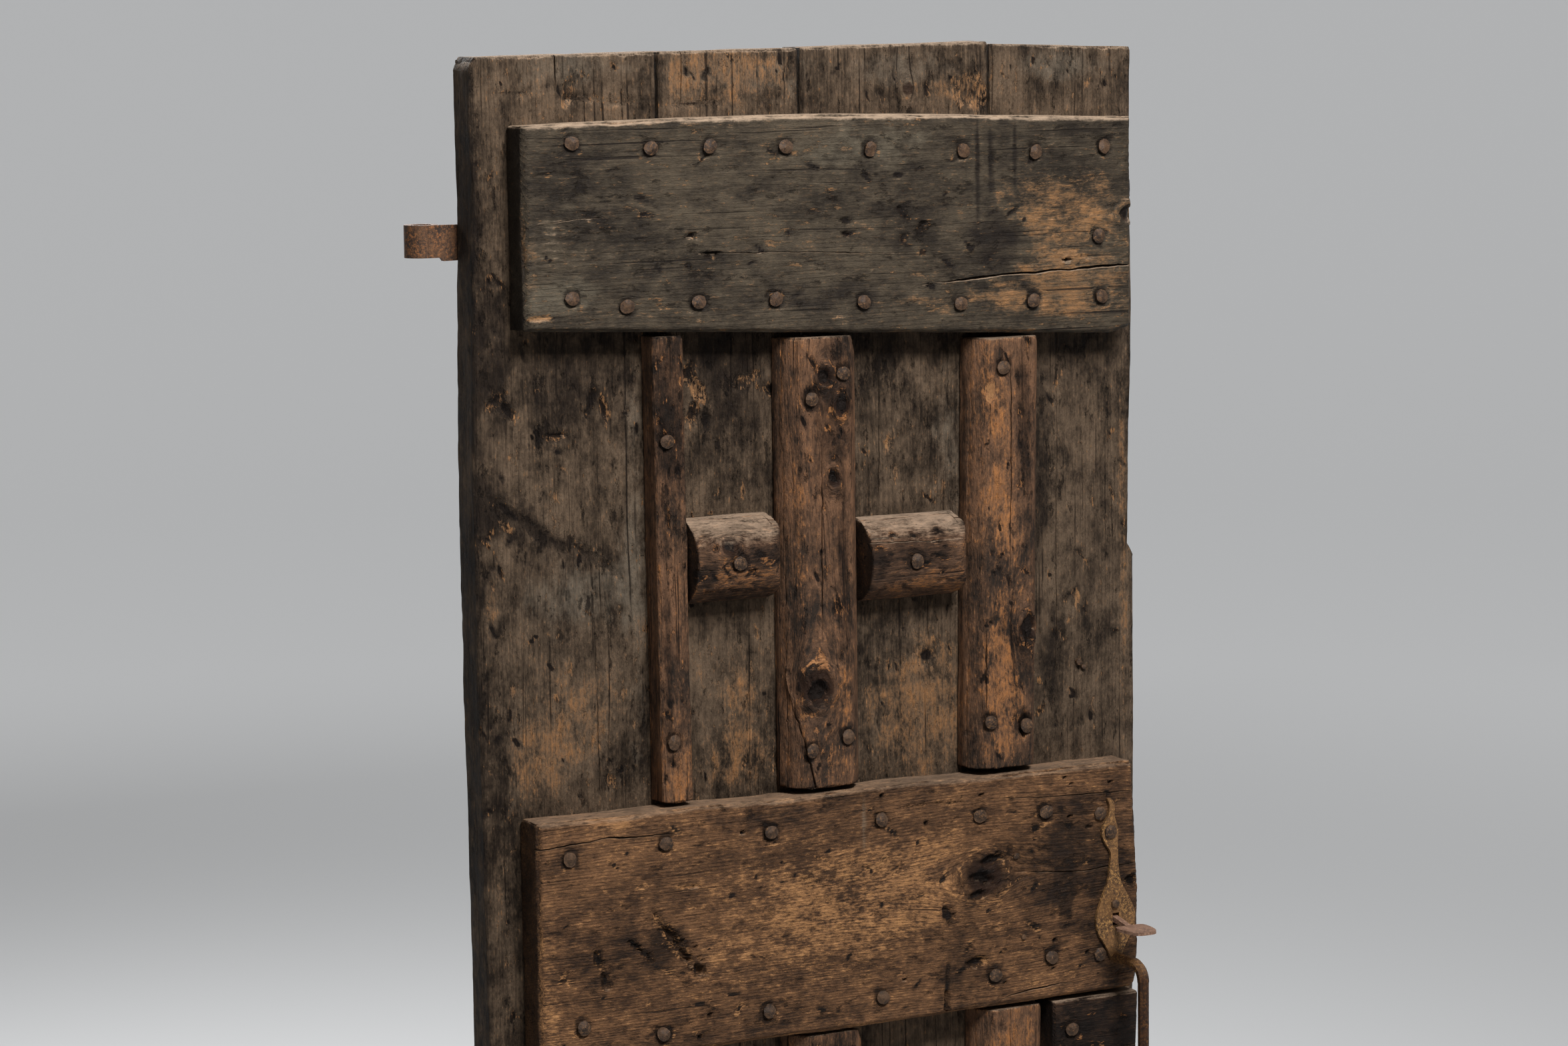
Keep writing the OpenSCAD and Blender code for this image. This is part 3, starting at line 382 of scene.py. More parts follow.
def marked(point, along, seed, front, back, masks, gouges, stains, nails, clenched):
    """Adds what nails, stains and knocks leave on the wood to its masks, and painted shade in nail seats and
    knocks.
    Front and back say how near the points are to each face."""
    x, z = point[:, 0], point[:, 2]
    soot_and_shade, torn, hollow = masks["soot_and_shade"], masks["torn"], masks["hollow"]
    for nail in nails:
        off = from_nail(x, z, nail, seed)
        # Round each nail: a dark iron stain with painted shade in its seat, and a faint stain further out.
        soot_and_shade += (0.9 - 0.8 * eased((off - 9) / 4) - 0.1 * eased((off - 15) / 25)) * front
        lip = (1 - eased(np.abs(off - 14) / 4)) * eased(wander(x / 11, z / 11, seed + 31) + 0.2)
        np.maximum(torn, 0.8 * lip * (z < nail[1]) * front, out=torn)
    for nail_x, nail_z in clenched:
        drip = np.hypot(x - nail_x, np.maximum(nail_z - z, 0) / 7 + np.maximum(z - nail_z, 0))
        drip *= 1 + 0.3 * wander(x / 6, z / 22, seed + 37)
        soot_and_shade += 0.9 * (1 - eased((drip - 3) / 11)) * back
    for number, mark in enumerate(stains):
        own = within(x, z, mark)
        inside = eased(1.15 - 0.8 * spread(x[own], z[own], mark, along, seed + 40 + number))
        masks[mark["kind"]][own] += mark["amount"] * inside * front[own]
    for number, mark in enumerate(gouges):
        own = within(x, z, mark)
        off = spread(x[own], z[own], mark, along, seed + number)
        torn[own] = np.maximum(torn[own], mark["bare"] * eased(2.0 * (1.25 - off)) * front[own])
        # Knocks are dark inside with dirt and painted shade.
        soot_and_shade[own] += 0.8 * mark["dirt_and_shade"] * eased(1.8 * (1.05 - off)) * front[own]
        hollow[own] = np.maximum(hollow[own], mark["dirt_and_shade"] * eased(2.4 * (0.75 - off)) * front[own])


def closed(numbers, turned, opening):
    """Quads over the outside of a lattice, with a tunnel through it where it has an opening."""
    faces = [tiles(numbers[:, :, 0], turned), tiles(numbers[:, :, -1], not turned)]
    sides = [tiles(numbers[:, 0], not turned), tiles(numbers[:, -1], turned)]
    ends = [tiles(numbers[0], turned), tiles(numbers[-1], not turned)]
    if not opening:
        return np.concatenate(faces + sides + ends)
    (i0, i1), (j0, j1) = opening
    kept = np.ones((numbers.shape[0] - 1, numbers.shape[1] - 1), bool)
    kept[i0:i1, j0:j1] = False
    faces = [face[kept.reshape(-1)] for face in faces]
    loop = [(i, j0) for i in range(i0, i1)] + [(i1, j) for j in range(j0, j1)]
    loop += [(i, j1) for i in range(i1, i0, -1)] + [(i0, j) for j in range(j1, j0, -1)]
    front, back = (np.array([numbers[i, j, layer] for i, j in loop]) for layer in (0, -1))
    tunnel = np.stack([front, np.roll(front, -1), np.roll(back, -1), back], 1)
    return np.concatenate(faces + sides + ends + [tunnel[:, ::-1] if turned else tunnel])


# Rays start this far outside the solid, and stay this far inside its outline.
RAY_START = 9
RIM_INSET = 0.6
SIDE_INSET = 10.0
END_INSET = 2.5
BACK_RIM = 1.5
DEPTH_PITCH = 6.0
BITE_WIDE = 24
END_BITE_LONG = 16
SIDE_ROUGHNESS = 1.2
FACE_DEPTH = 14
SHARP_ARRIS = 55
# Marks of hewing: the length and width of their waves, and their share of the depth.
HEWING = ((150, 48, 0.55), (52, 17, 0.3), (34, 6, 0.15))


def hewn_timber(node, along, material, slot, seed, pitch=(3.2, 5.0), plain_to=0.0, wear=3.0, hewn=0.8,
                soften=0, rim_share=0.5, pith=(0, 70), bare_arris=0.5, edge_shade_and_grime=0.0, uneven=1.2,
                torn_ends=1.2, cracks=(), gouges=(), knots=(), ripples=(), stains=(), nails=(),
                back_knots=(), clenched=(), mortise=None):
    """A timber on a lattice whose lines follow its grain, wrapped on the node's solid and worn.
    Pitch is across and along the grain, pith the place of the trunk's middle across and in depth,
    and mortise the span of a hole along each axis."""
    across = 2 - along
    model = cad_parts[node].data
    corners = np.array([v.co for v in model.vertices]) / MM - leaf_corner
    solid = BVHTree.FromPolygons(corners.tolist(), [tuple(p.vertices) for p in model.polygons])
    lo, hi = corners.min(0), corners.max(0)
    size = hi - lo
    a_line = lattice_lines(size[across], pitch[0])
    s_line = lattice_lines(size[along], pitch[1], plain_to)
    d_line = lattice_lines(size[DEPTH], DEPTH_PITCH)
    opening = []
    if mortise:
        for axis, lines in ((along, s_line), (across, a_line)):
            span = [int(np.argmin(np.abs(lo[axis] + lines - edge))) for edge in mortise[axis]]
            lines[span] = np.array(mortise[axis]) - lo[axis]
            opening.append(span)

    def edge(depth, axis, sign, lines):
        """The outline on one side, where rays across these lines meet it at one depth."""
        starts = np.zeros((len(lines), 3))
        inset = SIDE_INSET if axis == across else END_INSET
        starts[:, 2 - axis] = np.clip(lines, lines[0] + inset, lines[-1] - inset)
        starts[:, DEPTH] = depth
        starts[:, axis] = lo[axis] - RAY_START if sign > 0 else hi[axis] + RAY_START
        return met(solid, starts, axis, sign, lo[axis] if sign > 0 else hi[axis])

    def sheet(depth):
        """Where the lattice's lines cross on the front or the back, inside the outline."""
        left, right = (edge(depth, across, sign, lo[along] + s_line) for sign in (1, -1))
        a = left[:, None] + (right - left)[:, None] * (a_line / size[across])
        low, high = edge(depth, along, 1, a[RIM_COUNT - 1]), edge(depth, along, -1, a[-RIM_COUNT])
        s = low[None] + (high - low)[None] * (s_line / size[along])[:, None]
        return a, s

    def face(a, s, start, sign):
        """The depth of the front or the back at these places."""
        points = np.zeros((*a.shape, 3))
        points[..., across] = np.clip(a, a[:, :1] + RIM_INSET, a[:, -1:] - RIM_INSET)
        points[..., along] = np.clip(s, s[:1] + RIM_INSET, s[-1:] - RIM_INSET)
        points[..., DEPTH] = start
        return mended(met(solid, points, DEPTH, sign, np.nan))

    # The front's outline, bitten unevenly along its sides and torn at its ends.
    front_a, front_s = sheet(lo[DEPTH] + rim_share * size[DEPTH])
    back_a, back_s = sheet(hi[DEPTH] - BACK_RIM)
    for column, way in ((0, 1), (-1, -1)):
        bite = 0.5 + 0.5 * wander(front_s[:, column] / 90, column, seed + 14)
        bite += 0.4 * wander(front_s[:, column] / 21, column, seed + 15)
        share_in = np.clip(1 - np.abs(front_a - front_a[:, [column]]) / BITE_WIDE, 0, 1)
        front_a += way * uneven * np.maximum(bite, 0)[:, None] * share_in
    for row in (0, -1):
        way = 1 if row == 0 else -1
        bite = 0.5 + 0.5 * wander(front_a[row] / 13, row, seed + 16)
        bite += 0.4 * wander(front_a[row] / 3.5, row, seed + 17)
        share_in = np.clip(1 - np.abs(front_s - front_s[[row]]) / END_BITE_LONG, 0, 1)
        front_s += way * torn_ends * np.maximum(bite, 0)[None] * share_in
    dent, slit = warped(front_a, front_s, cracks, along, seed)
    if mortise:
        (i0, i1), (j0, j1) = opening
        for sheet_a, sheet_s in ((front_a, front_s), (back_a, back_s)):
            for column, place in zip((j0, j1), mortise[across]):
                sheet_a[i0:i1 + 1, column] = place
            for row, place in zip((i0, i1), mortise[along]):
                sheet_s[row, j0:j1 + 1] = place
    front_y = face(front_a, front_s, lo[DEPTH] - RAY_START, 1)
    back_y = face(back_a, back_s, hi[DEPTH] + RAY_START, -1)
    if mortise:
        for depths in (front_y, back_y):
            depths[i0:i1 + 1, j0:j1 + 1] = np.median(depths)
    for _ in range(soften):
        front_y[:, 1:-1] = (front_y[:, :-2] + 2 * front_y[:, 1:-1] + front_y[:, 2:]) / 4

    front_y += dent + knocked(front_a, front_s, along, seed, gouges, nails, knots, ripples)
    for number, (long, wide, part) in enumerate(HEWING):
        front_y += hewn * part * (0.5 + 0.5 * wander(front_s / long, front_a / wide, seed + number))
    back_y -= hewn * (0.5 + 0.5 * wander(back_s / HEWING[0][0], back_a / HEWING[0][1], seed + 4))

    # The sides and ends between the front's rim and the back's.
    rows, columns, layers = len(s_line), len(a_line), len(d_line)
    share = d_line / size[DEPTH]
    place = np.zeros((rows, columns, layers, 3))
    outer = np.zeros((rows, columns, layers), bool)

    def between(front, back):
        """Lines from the front's rim to the back's."""
        return front[:, None] * (1 - share) + back[:, None] * share

    def wall(index, axis, sign):
        """One side or end: lines from the front rim to the back rim, pulled onto the solid."""
        other = 2 - axis
        front_here, back_here = (front_a, back_a) if axis == across else (front_s, back_s)
        front_other, back_other = (front_s, back_s) if axis == across else (front_a, back_a)
        points = np.zeros((front_y[index].shape[0], layers, 3))
        points[..., DEPTH] = between(front_y[index], back_y[index])
        points[..., other] = between(front_other[index], back_other[index])
        plain = between(front_here[index], back_here[index])
        starts = points.copy()
        starts[..., axis] = lo[axis] - RAY_START if sign > 0 else hi[axis] + RAY_START
        starts[..., other] = np.clip(starts[..., other], lo[other] + RIM_INSET, hi[other] - RIM_INSET)
        onto = met(solid, starts[:, 1:-1], axis, sign, np.nan)
        points[..., axis] = plain
        kept = np.isfinite(onto) & (np.abs(onto - plain[:, 1:-1]) < 0.3 * size[axis])
        points[:, 1:-1, axis] = np.where(kept, onto, plain[:, 1:-1])
        rough = 0.5 + 0.5 * wander(points[..., other] / 40, points[..., DEPTH] / 9, seed + 5 + axis)
        points[:, 1:-1, axis] += sign * SIDE_ROUGHNESS * rough[:, 1:-1]
        return points

    place[:, 0], place[:, -1] = wall(np.s_[:, 0], across, 1), wall(np.s_[:, -1], across, -1)
    place[0], place[-1] = wall(np.s_[0], along, 1), wall(np.s_[-1], along, -1)
    for layer, a, s, y in ((0, front_a, front_s, front_y), (-1, back_a, back_s, back_y)):
        place[:, :, layer, across], place[:, :, layer, along], place[:, :, layer, DEPTH] = a, s, y
    outer[:, :, [0, -1]] = outer[:, [0, -1]] = outer[[0, -1]] = True
    numbers = np.cumsum(outer).reshape(outer.shape) - 1
    point = place[outer]

    # The arrises, the grain and the weathering.
    lines = (s_line, a_line, d_line)
    to_rim = np.meshgrid(*(np.minimum(line, line[-1] - line) for line in lines), indexing="ij")
    inward = np.meshgrid(*(np.where(line < line[-1] / 2, 1.0, -1.0) for line in lines), indexing="ij")
    to_rim, inward = [g[outer] for g in to_rim], [g[outer] for g in inward]
    arris, broad, fine = rounded(point, (along, across, DEPTH), to_rim, inward, wear, seed)
    near_front = 1 - eased((point[:, DEPTH] - np.median(front_y)) / FACE_DEPTH)
    near_back = 1 - eased((np.median(back_y) - point[:, DEPTH]) / FACE_DEPTH)
    faced_knots = [(each, near_front) for each in knots] + [(each, near_back) for each in back_knots]
    trunk = ((lo[across] + hi[across]) / 2 + pith[0], pith[1])
    grain, ring, knot_mask, knot_core, knot_rim = grained(point, along, seed, trunk, faced_knots)
    masks = {
        "rub": bare_arris * arris * (0.6 + 0.6 * broad + 0.5 * fine),
        # Painted shade, with grime, along the long sides where the boards meet.
        "soot_and_shade": edge_shade_and_grime * (1 - eased(to_rim[1] / (16 + 9 * broad))),
        "grey": np.zeros(len(point)),
        "torn": 0.5 * knot_rim,
        "hollow": 0.8 * knot_core,
    }
    marked(point, along, seed, near_front, near_back, masks, gouges, stains, nails, clenched)
    # Painted shade in open cracks, and in knocks with their dirt; the cores of knots are dark wood.
    open_slit = np.zeros(outer.shape)
    open_slit[:, :, 0] = slit
    dark_inside = np.maximum(open_slit[outer], 0.8 * masks["hollow"])

    quads = closed(numbers, along == ALONG_Z, opening)
    used = np.unique(quads)
    fresh = np.full(len(point), -1)
    fresh[used] = np.arange(len(used))
    mesh = bpy.data.meshes.new(node + "_wood")
    mesh.from_pydata(((point[used] + leaf_corner) * MM).tolist(), [], fresh[quads].tolist())
    # Wear carries rubbing, soot with painted shade, and grey; scar carries torn wood, knots and dark
    # insides.
    wear_and_shade_marks = np.stack([masks[kind] for kind in ("rub", "soot_and_shade", "grey")], 1)
    scars = np.stack([masks["torn"], knot_mask, dark_inside], 1)
    for name, values in (("grain", grain), ("wear", wear_and_shade_marks), ("scar", scars)):
        carried = mesh.attributes.new(name, "FLOAT_VECTOR", "POINT")
        carried.data.foreach_set("vector", values[used].astype(np.float32).reshape(-1))
    for name, values in (("ring", ring), ("end_grain", to_rim[0] == 0)):
        carried = mesh.attributes.new(name, "FLOAT", "POINT")
        carried.data.foreach_set("value", values[used].astype(np.float32))
    on_leaf(mesh, node, material, SHARP_ARRIS)


def placed(tree, kind, sockets=None, **settings):
    """A shader node with its settings, and its sockets linked or set."""
    node = tree.nodes.new(kind)
    for key, value in settings.items():
        setattr(node, key, value)
    for key, value in (sockets or {}).items():
        if isinstance(value, bpy.types.NodeSocket):
            tree.links.new(value, node.inputs[key])
        else:
            node.inputs[key].default_value = value
    return node


def maths(tree, operation, first, second=0.0):
    """A sum, product or the like of two values."""
    return placed(tree, "ShaderNodeMath", {0: first, 1: second}, operation=operation).outputs[0]


def ramp(tree, value, low, high, top=1.0):
    """A smooth step of a value between two levels."""
    sockets = {"Value": value, "From Min": low, "From Max": high, "To Max": top}
    return placed(tree, "ShaderNodeMapRange", sockets, interpolation_type="SMOOTHSTEP").outputs[0]


def blended(tree, share, first, second):
    """A colour between two."""
    return placed(tree, "ShaderNodeMix", {0: share, 6: first, 7: second}, data_type="RGBA").outputs[2]


def noise(tree, vector, scale, detail=3.0, roughness=0.6):
    """Noise of a given fineness over the surface, about 0.5 on average."""
    sockets = {"Vector": vector, "Scale": scale, "Detail": detail, "Roughness": roughness}
    return placed(tree, "ShaderNodeTexNoise", sockets).outputs[0]


def stretched(tree, vector, factors):
    """A place drawn out along each axis."""
    return placed(tree, "ShaderNodeVectorMath", {0: vector, 1: factors}, operation="MULTIPLY").outputs[0]


def surface_value(tree, name, output="Vector"):
    """What the mesh carries under this name."""
    return placed(tree, "ShaderNodeAttribute", attribute_name=name).outputs[output]


def split(tree, vector):
    """The three parts of a vector."""
    return placed(tree, "ShaderNodeSeparateXYZ", {0: vector}).outputs


def shader_group(name, inputs, outputs):
    """A shader node group with named sockets, and its own input and output sockets."""
    tree = bpy.data.node_groups.new(name, "ShaderNodeTree")
    for label, kind, value in inputs:
        tree.interface.new_socket(label, in_out="INPUT", socket_type=kind).default_value = value
    for label, kind in outputs:
        tree.interface.new_socket(label, in_out="OUTPUT", socket_type=kind)
    return tree, tree.nodes.new("NodeGroupInput").outputs, tree.nodes.new("NodeGroupOutput").inputs


FLOAT = "NodeSocketFloat"
COLOUR = "NodeSocketColor"

# The fibre of old pine: hair-fine fibres, streaks, broad patches and the year rings.
FIBRE_VALUES = ("Fibre", "Streak", "Patch", "Ring", "Fleck", "Check", "Mottle", "Chip")
SWAY = 0.005
LATE_WOOD_POWER = 2.2
fibre, fibre_in, fibre_out = shader_group(
    "pine_fibre", [("Ring Pitch", FLOAT, 0.004)], [(label, FLOAT) for label in FIBRE_VALUES]
)
grain = surface_value(fibre, "grain")
sway = noise(fibre, stretched(fibre, grain, (1, 0.25, 1)), 22, 2.0)
sway = placed(fibre, "ShaderNodeCombineXYZ", {0: maths(fibre, "MULTIPLY", sway, SWAY)}).outputs[0]
swayed = placed(fibre, "ShaderNodeVectorMath", {0: grain, 1: sway}, operation="ADD").outputs[0]
fine_fibre = noise(fibre, stretched(fibre, swayed, (1, 0.12, 1)), 430, 4.0, 0.76)
long_streak = noise(fibre, stretched(fibre, swayed, (1, 0.045, 1)), 120, 3.0, 0.6)
broad_patch = noise(fibre, stretched(fibre, grain, (1, 0.45, 1)), 13, 5.0, 0.62)
short_fleck = noise(fibre, stretched(fibre, swayed, (1, 0.42, 1)), 300, 4.0, 0.74)
hair_check = noise(fibre, stretched(fibre, swayed, (1, 0.014, 1)), 230, 2.0, 0.5)
mottle = noise(fibre, stretched(fibre, grain, (1, 0.6, 1)), 52, 6.0, 0.7)
chip = noise(fibre, stretched(fibre, swayed, (1, 0.34, 1)), 84, 6.0, 0.72)
ring_place = maths(fibre, "DIVIDE", surface_value(fibre, "ring", "Fac"), fibre_in["Ring Pitch"])
ring_place = maths(fibre, "ADD", ring_place, maths(fibre, "MULTIPLY", long_streak, 1.4))
ring_share = maths(fibre, "FRACT", ring_place)
late_wood = maths(fibre, "POWER", ring_share, LATE_WOOD_POWER)
late_wood = maths(fibre, "MULTIPLY", late_wood, ramp(fibre, ring_share, 1.0, 0.86))
fibre_made = (fine_fibre, long_streak, broad_patch, late_wood, short_fleck, hair_check, mottle, chip)
for label, value in zip(FIBRE_VALUES, fibre_made):
    fibre.links.new(value, fibre_out[label])

# Weathering: dark and pale fibres, bare ochre where rubbed or torn, soot, silver grey and dust, with painted
# shade in cracks, knocks, nail seats and along the boards' sides, and a painted top light on faces turned
# up.
weather, weather_in, weather_out = shader_group(
    "weathered_pine",
    [*((label, FLOAT, 0.5) for label in FIBRE_VALUES),
     ("Dark", COLOUR, srgb(40, 30, 24)), ("Middle", COLOUR, srgb(90, 70, 54)),
     ("Rubbed", COLOUR, srgb(150, 110, 74)), ("Grey", COLOUR, srgb(120, 112, 100)),
     ("Rub Level", FLOAT, 0.3), ("Grey Level", FLOAT, 0.2), ("Sheen", FLOAT, 0.0),
     ("Grain Level", FLOAT, 1.0), ("Cloud Level", FLOAT, 1.0), ("Dust And Top Light Level", FLOAT, 0.8)],
    [("Color", COLOUR), ("Roughness", FLOAT), ("Height", FLOAT)],
)
NEAR_BLACK = srgb(20, 14, 11)
KNOT = srgb(36, 23, 16)
DUST_AND_TOP_LIGHT = srgb(168, 145, 123)
TORN = srgb(150, 112, 76)
DRY_ROUGHNESS = 0.68
rub_mark, soot_and_shade_mark, grey_mark = split(weather, surface_value(weather, "wear"))
torn_mark, knot_mark, slit_mark = split(weather, surface_value(weather, "scar"))
end_mark = surface_value(weather, "end_grain", "Fac")
fibre_rise = maths(weather, "SUBTRACT", weather_in["Fibre"], 0.5)
fibre_off = maths(weather, "MULTIPLY", fibre_rise, weather_in["Grain Level"])
streak_off = maths(weather, "SUBTRACT", weather_in["Streak"], 0.5)
patch_rise = maths(weather, "SUBTRACT", weather_in["Patch"], 0.5)
patch_off = maths(weather, "MULTIPLY", patch_rise, weather_in["Cloud Level"])
fleck_rise = maths(weather, "SUBTRACT", weather_in["Fleck"], 0.5)
fleck_off = maths(weather, "MULTIPLY", fleck_rise, weather_in["Grain Level"])
mottle_off = maths(weather, "SUBTRACT", weather_in["Mottle"], 0.5)


def summed(tree, *terms):
    """A sum of values, each with its weight."""
    total = None
    for value, weight in terms:
        part = maths(tree, "MULTIPLY", value, weight)
        total = part if total is None else maths(tree, "ADD", total, part)
    return total


tone = summed(weather, (fibre_off, 1.0), (streak_off, 0.4), (patch_off, 1.3), (mottle_off, 1.1),
              (fleck_off, 0.8))
tone = ramp(weather, tone, -0.36, 0.36)
colour = blended(weather, tone, weather_in["Dark"], weather_in["Middle"])
colour = blended(weather, maths(weather, "MULTIPLY", weather_in["Ring"], 0.3), colour, weather_in["Dark"])
greyed = summed(weather, (weather_in["Grey Level"], 1.0), (grey_mark, 0.8), (mottle_off, 1.0),
                (fibre_off, 0.9), (patch_off, -0.9))
colour = blended(weather, ramp(weather, greyed, 0.2, 0.8, 0.65), colour, weather_in["Grey"])
rubbed = summed(weather, (weather_in["Rub Level"], 1.0), (rub_mark, 0.7), (fleck_off, 2.2), (fibre_off, 1.2),
                (patch_off, 1.5), (mottle_off, 1.4), (soot_and_shade_mark, -0.7))
bright = ramp(weather, summed(weather, (fibre_off, 1.6), (mottle_off, 1.0), (fleck_off, 1.0)), -0.3, 0.5)
ochre = blended(weather, bright, weather_in["Middle"], weather_in["Rubbed"])
colour = blended(weather, ramp(weather, rubbed, 0.2, 0.85, 0.85), colour, ochre)
speck = summed(weather, (fleck_rise, 1.0), (fibre_rise, 0.8))
colour = blended(weather, ramp(weather, speck, 0.1, 0.18, 0.16), colour, ochre)
colour = blended(weather, ramp(weather, speck, -0.09, -0.18, 0.2), colour, weather_in["Dark"])
chipped = summed(weather, (weather_in["Chip"], 1.0), (patch_off, 0.2), (rub_mark, 0.05), (soot_and_shade_mark, -0.05),
                 (fleck_rise, 0.1))
colour = blended(weather, ramp(weather, chipped, 0.64, 0.665, 0.75), colour, ochre)
# Soot darkens towards near black, with painted shade along the boards' sides and in nail seats.
sooted_and_shaded = summed(weather, (soot_and_shade_mark, 0.9), (mottle_off, -1.0), (patch_off, -0.6), (fibre_off, -0.6))
colour = blended(weather, ramp(weather, sooted_and_shaded, 0.1, 0.9, 0.82), colour, NEAR_BLACK)
bare = summed(weather, (torn_mark, 0.8), (fibre_rise, 1.8), (fleck_rise, 1.6), (mottle_off, 1.0))
colour = blended(weather, ramp(weather, bare, 0.42, 0.62, 0.8), colour, ochre)
colour = blended(weather, ramp(weather, bare, 0.62, 0.95, 0.8), colour, TORN)
knotted = summed(weather, (knot_mark, 1.0), (mottle_off, 1.2), (fibre_rise, 0.6))
colour = blended(weather, ramp(weather, knotted, 0.2, 0.8, 0.92), colour, KNOT)
colour = blended(weather, ramp(weather, chipped, 0.36, 0.335, 0.75), colour, NEAR_BLACK)
checks = summed(weather, (weather_in["Check"], 1.0), (patch_off, -0.25))
colour = blended(weather, ramp(weather, checks, 0.34, 0.27, 0.85), colour, NEAR_BLACK)
colour = blended(weather, maths(weather, "MULTIPLY", end_mark, 0.6), colour, NEAR_BLACK)
# Cracks and knocks go near black with painted shade, knocks also with dirt, and knot cores with their own
# dark.
opened = summed(weather, (slit_mark, 1.0), (mottle_off, 0.8), (fleck_rise, 0.6))
colour = blended(weather, ramp(weather, opened, 0.28, 0.45, 0.94), colour, NEAR_BLACK)
# Dust and a painted top light: faces turned up are paler, as if lit from above.
upward = split(weather, placed(weather, "ShaderNodeNewGeometry").outputs["Normal"])[2]
dust_and_top_light = summed(weather, (upward, 1.0), (soot_and_shade_mark, -0.4), (fibre_rise, 1.0), (fleck_rise, 0.8),
               (mottle_off, 1.6))
dusted_and_lit = maths(weather, "MULTIPLY", ramp(weather, dust_and_top_light, 0.2, 1.15), weather_in["Dust And Top Light Level"])
colour = blended(weather, dusted_and_lit, colour, DUST_AND_TOP_LIGHT)
weather.links.new(colour, weather_out["Color"])
rough = summed(weather, (weather_in["Sheen"], -0.3), (rub_mark, -0.05), (fibre_off, 0.4), (mottle_off, 0.4),
               (dust_and_top_light, 0.1))
weather.links.new(maths(weather, "ADD", rough, DRY_ROUGHNESS), weather_out["Roughness"])
height = summed(weather, (fibre_rise, 1.0), (streak_off, 0.5), (fleck_rise, 0.9), (weather_in["Ring"], 0.35),
                (mottle_off, 0.8), (ramp(weather, checks, 0.38, 0.27), -0.6),
                (ramp(weather, chipped, 0.4, 0.33), -0.7), (ramp(weather, chipped, 0.61, 0.66), -0.35))
weather.links.new(height, weather_out["Height"])


def made_of(name, group, values, relief, specular):
    """A material whose colour, roughness and relief come from a group with these values."""
    material = bpy.data.materials.new(name)
    material.use_nodes = True
    tree = material.node_tree
    shader = tree.nodes["Principled BSDF"]
    finish = placed(tree, "ShaderNodeGroup", values, node_tree=group)
    height = {"Height": finish.outputs["Height"], "Distance": relief, "Strength": 1.0}
    bump = placed(tree, "ShaderNodeBump", height)
    tree.links.new(finish.outputs["Color"], shader.inputs["Base Color"])
    tree.links.new(finish.outputs["Roughness"], shader.inputs["Roughness"])
    tree.links.new(bump.outputs["Normal"], shader.inputs["Normal"])
    shader.inputs["Specular IOR Level"].default_value = specular
    return material, finish


def old_pine(name, dark, middle, rubbed, grey, rub_level, grey_level, ring_pitch=0.004, sheen=0.0,
             grain_level=1.0, cloud_level=1.0, dust_and_top_light_level=0.8, specular=0.1, relief=0.0025):
    """Weathered pine in its own colours."""
    colours = {"Dark": dark, "Middle": middle, "Rubbed": rubbed, "Grey": grey}
    levels = {"Rub Level": rub_level, "Grey Level": grey_level, "Sheen": sheen, "Grain Level": grain_level,
              "Cloud Level": cloud_level, "Dust And Top Light Level": dust_and_top_light_level}
    material, finish = made_of(name, weather, {**colours, **levels}, relief, specular)
    tree = material.node_tree
    pattern = placed(tree, "ShaderNodeGroup", {"Ring Pitch": ring_pitch}, node_tree=fibre)
    for label in FIBRE_VALUES:
        tree.links.new(pattern.outputs[label], finish.inputs[label])
    return material


board_pine = old_pine(
    "board_pine", dark=srgb(31, 24, 18), middle=srgb(106, 88, 71), rubbed=srgb(160, 108, 60),
    grey=srgb(108, 98, 85), rub_level=0.02, grey_level=0.05, ring_pitch=0.0042, grain_level=0.45,
    cloud_level=0.75,
)
LEDGE_NAILS = ("top_ledge_nails", "middle_ledge_nails", "bottom_ledge_nails")
through = [place for group in LEDGE_NAILS + ("strip_nails", "block_nails") for place in driven(group)]
BOARD_LOOK = {
    "along": ALONG_Z, "material": board_pine, "slot": "board_pine", "plain_to": 850.0, "edge_shade_and_grime": 0.5,
    "torn_ends": 3.5, "clenched": through,
}

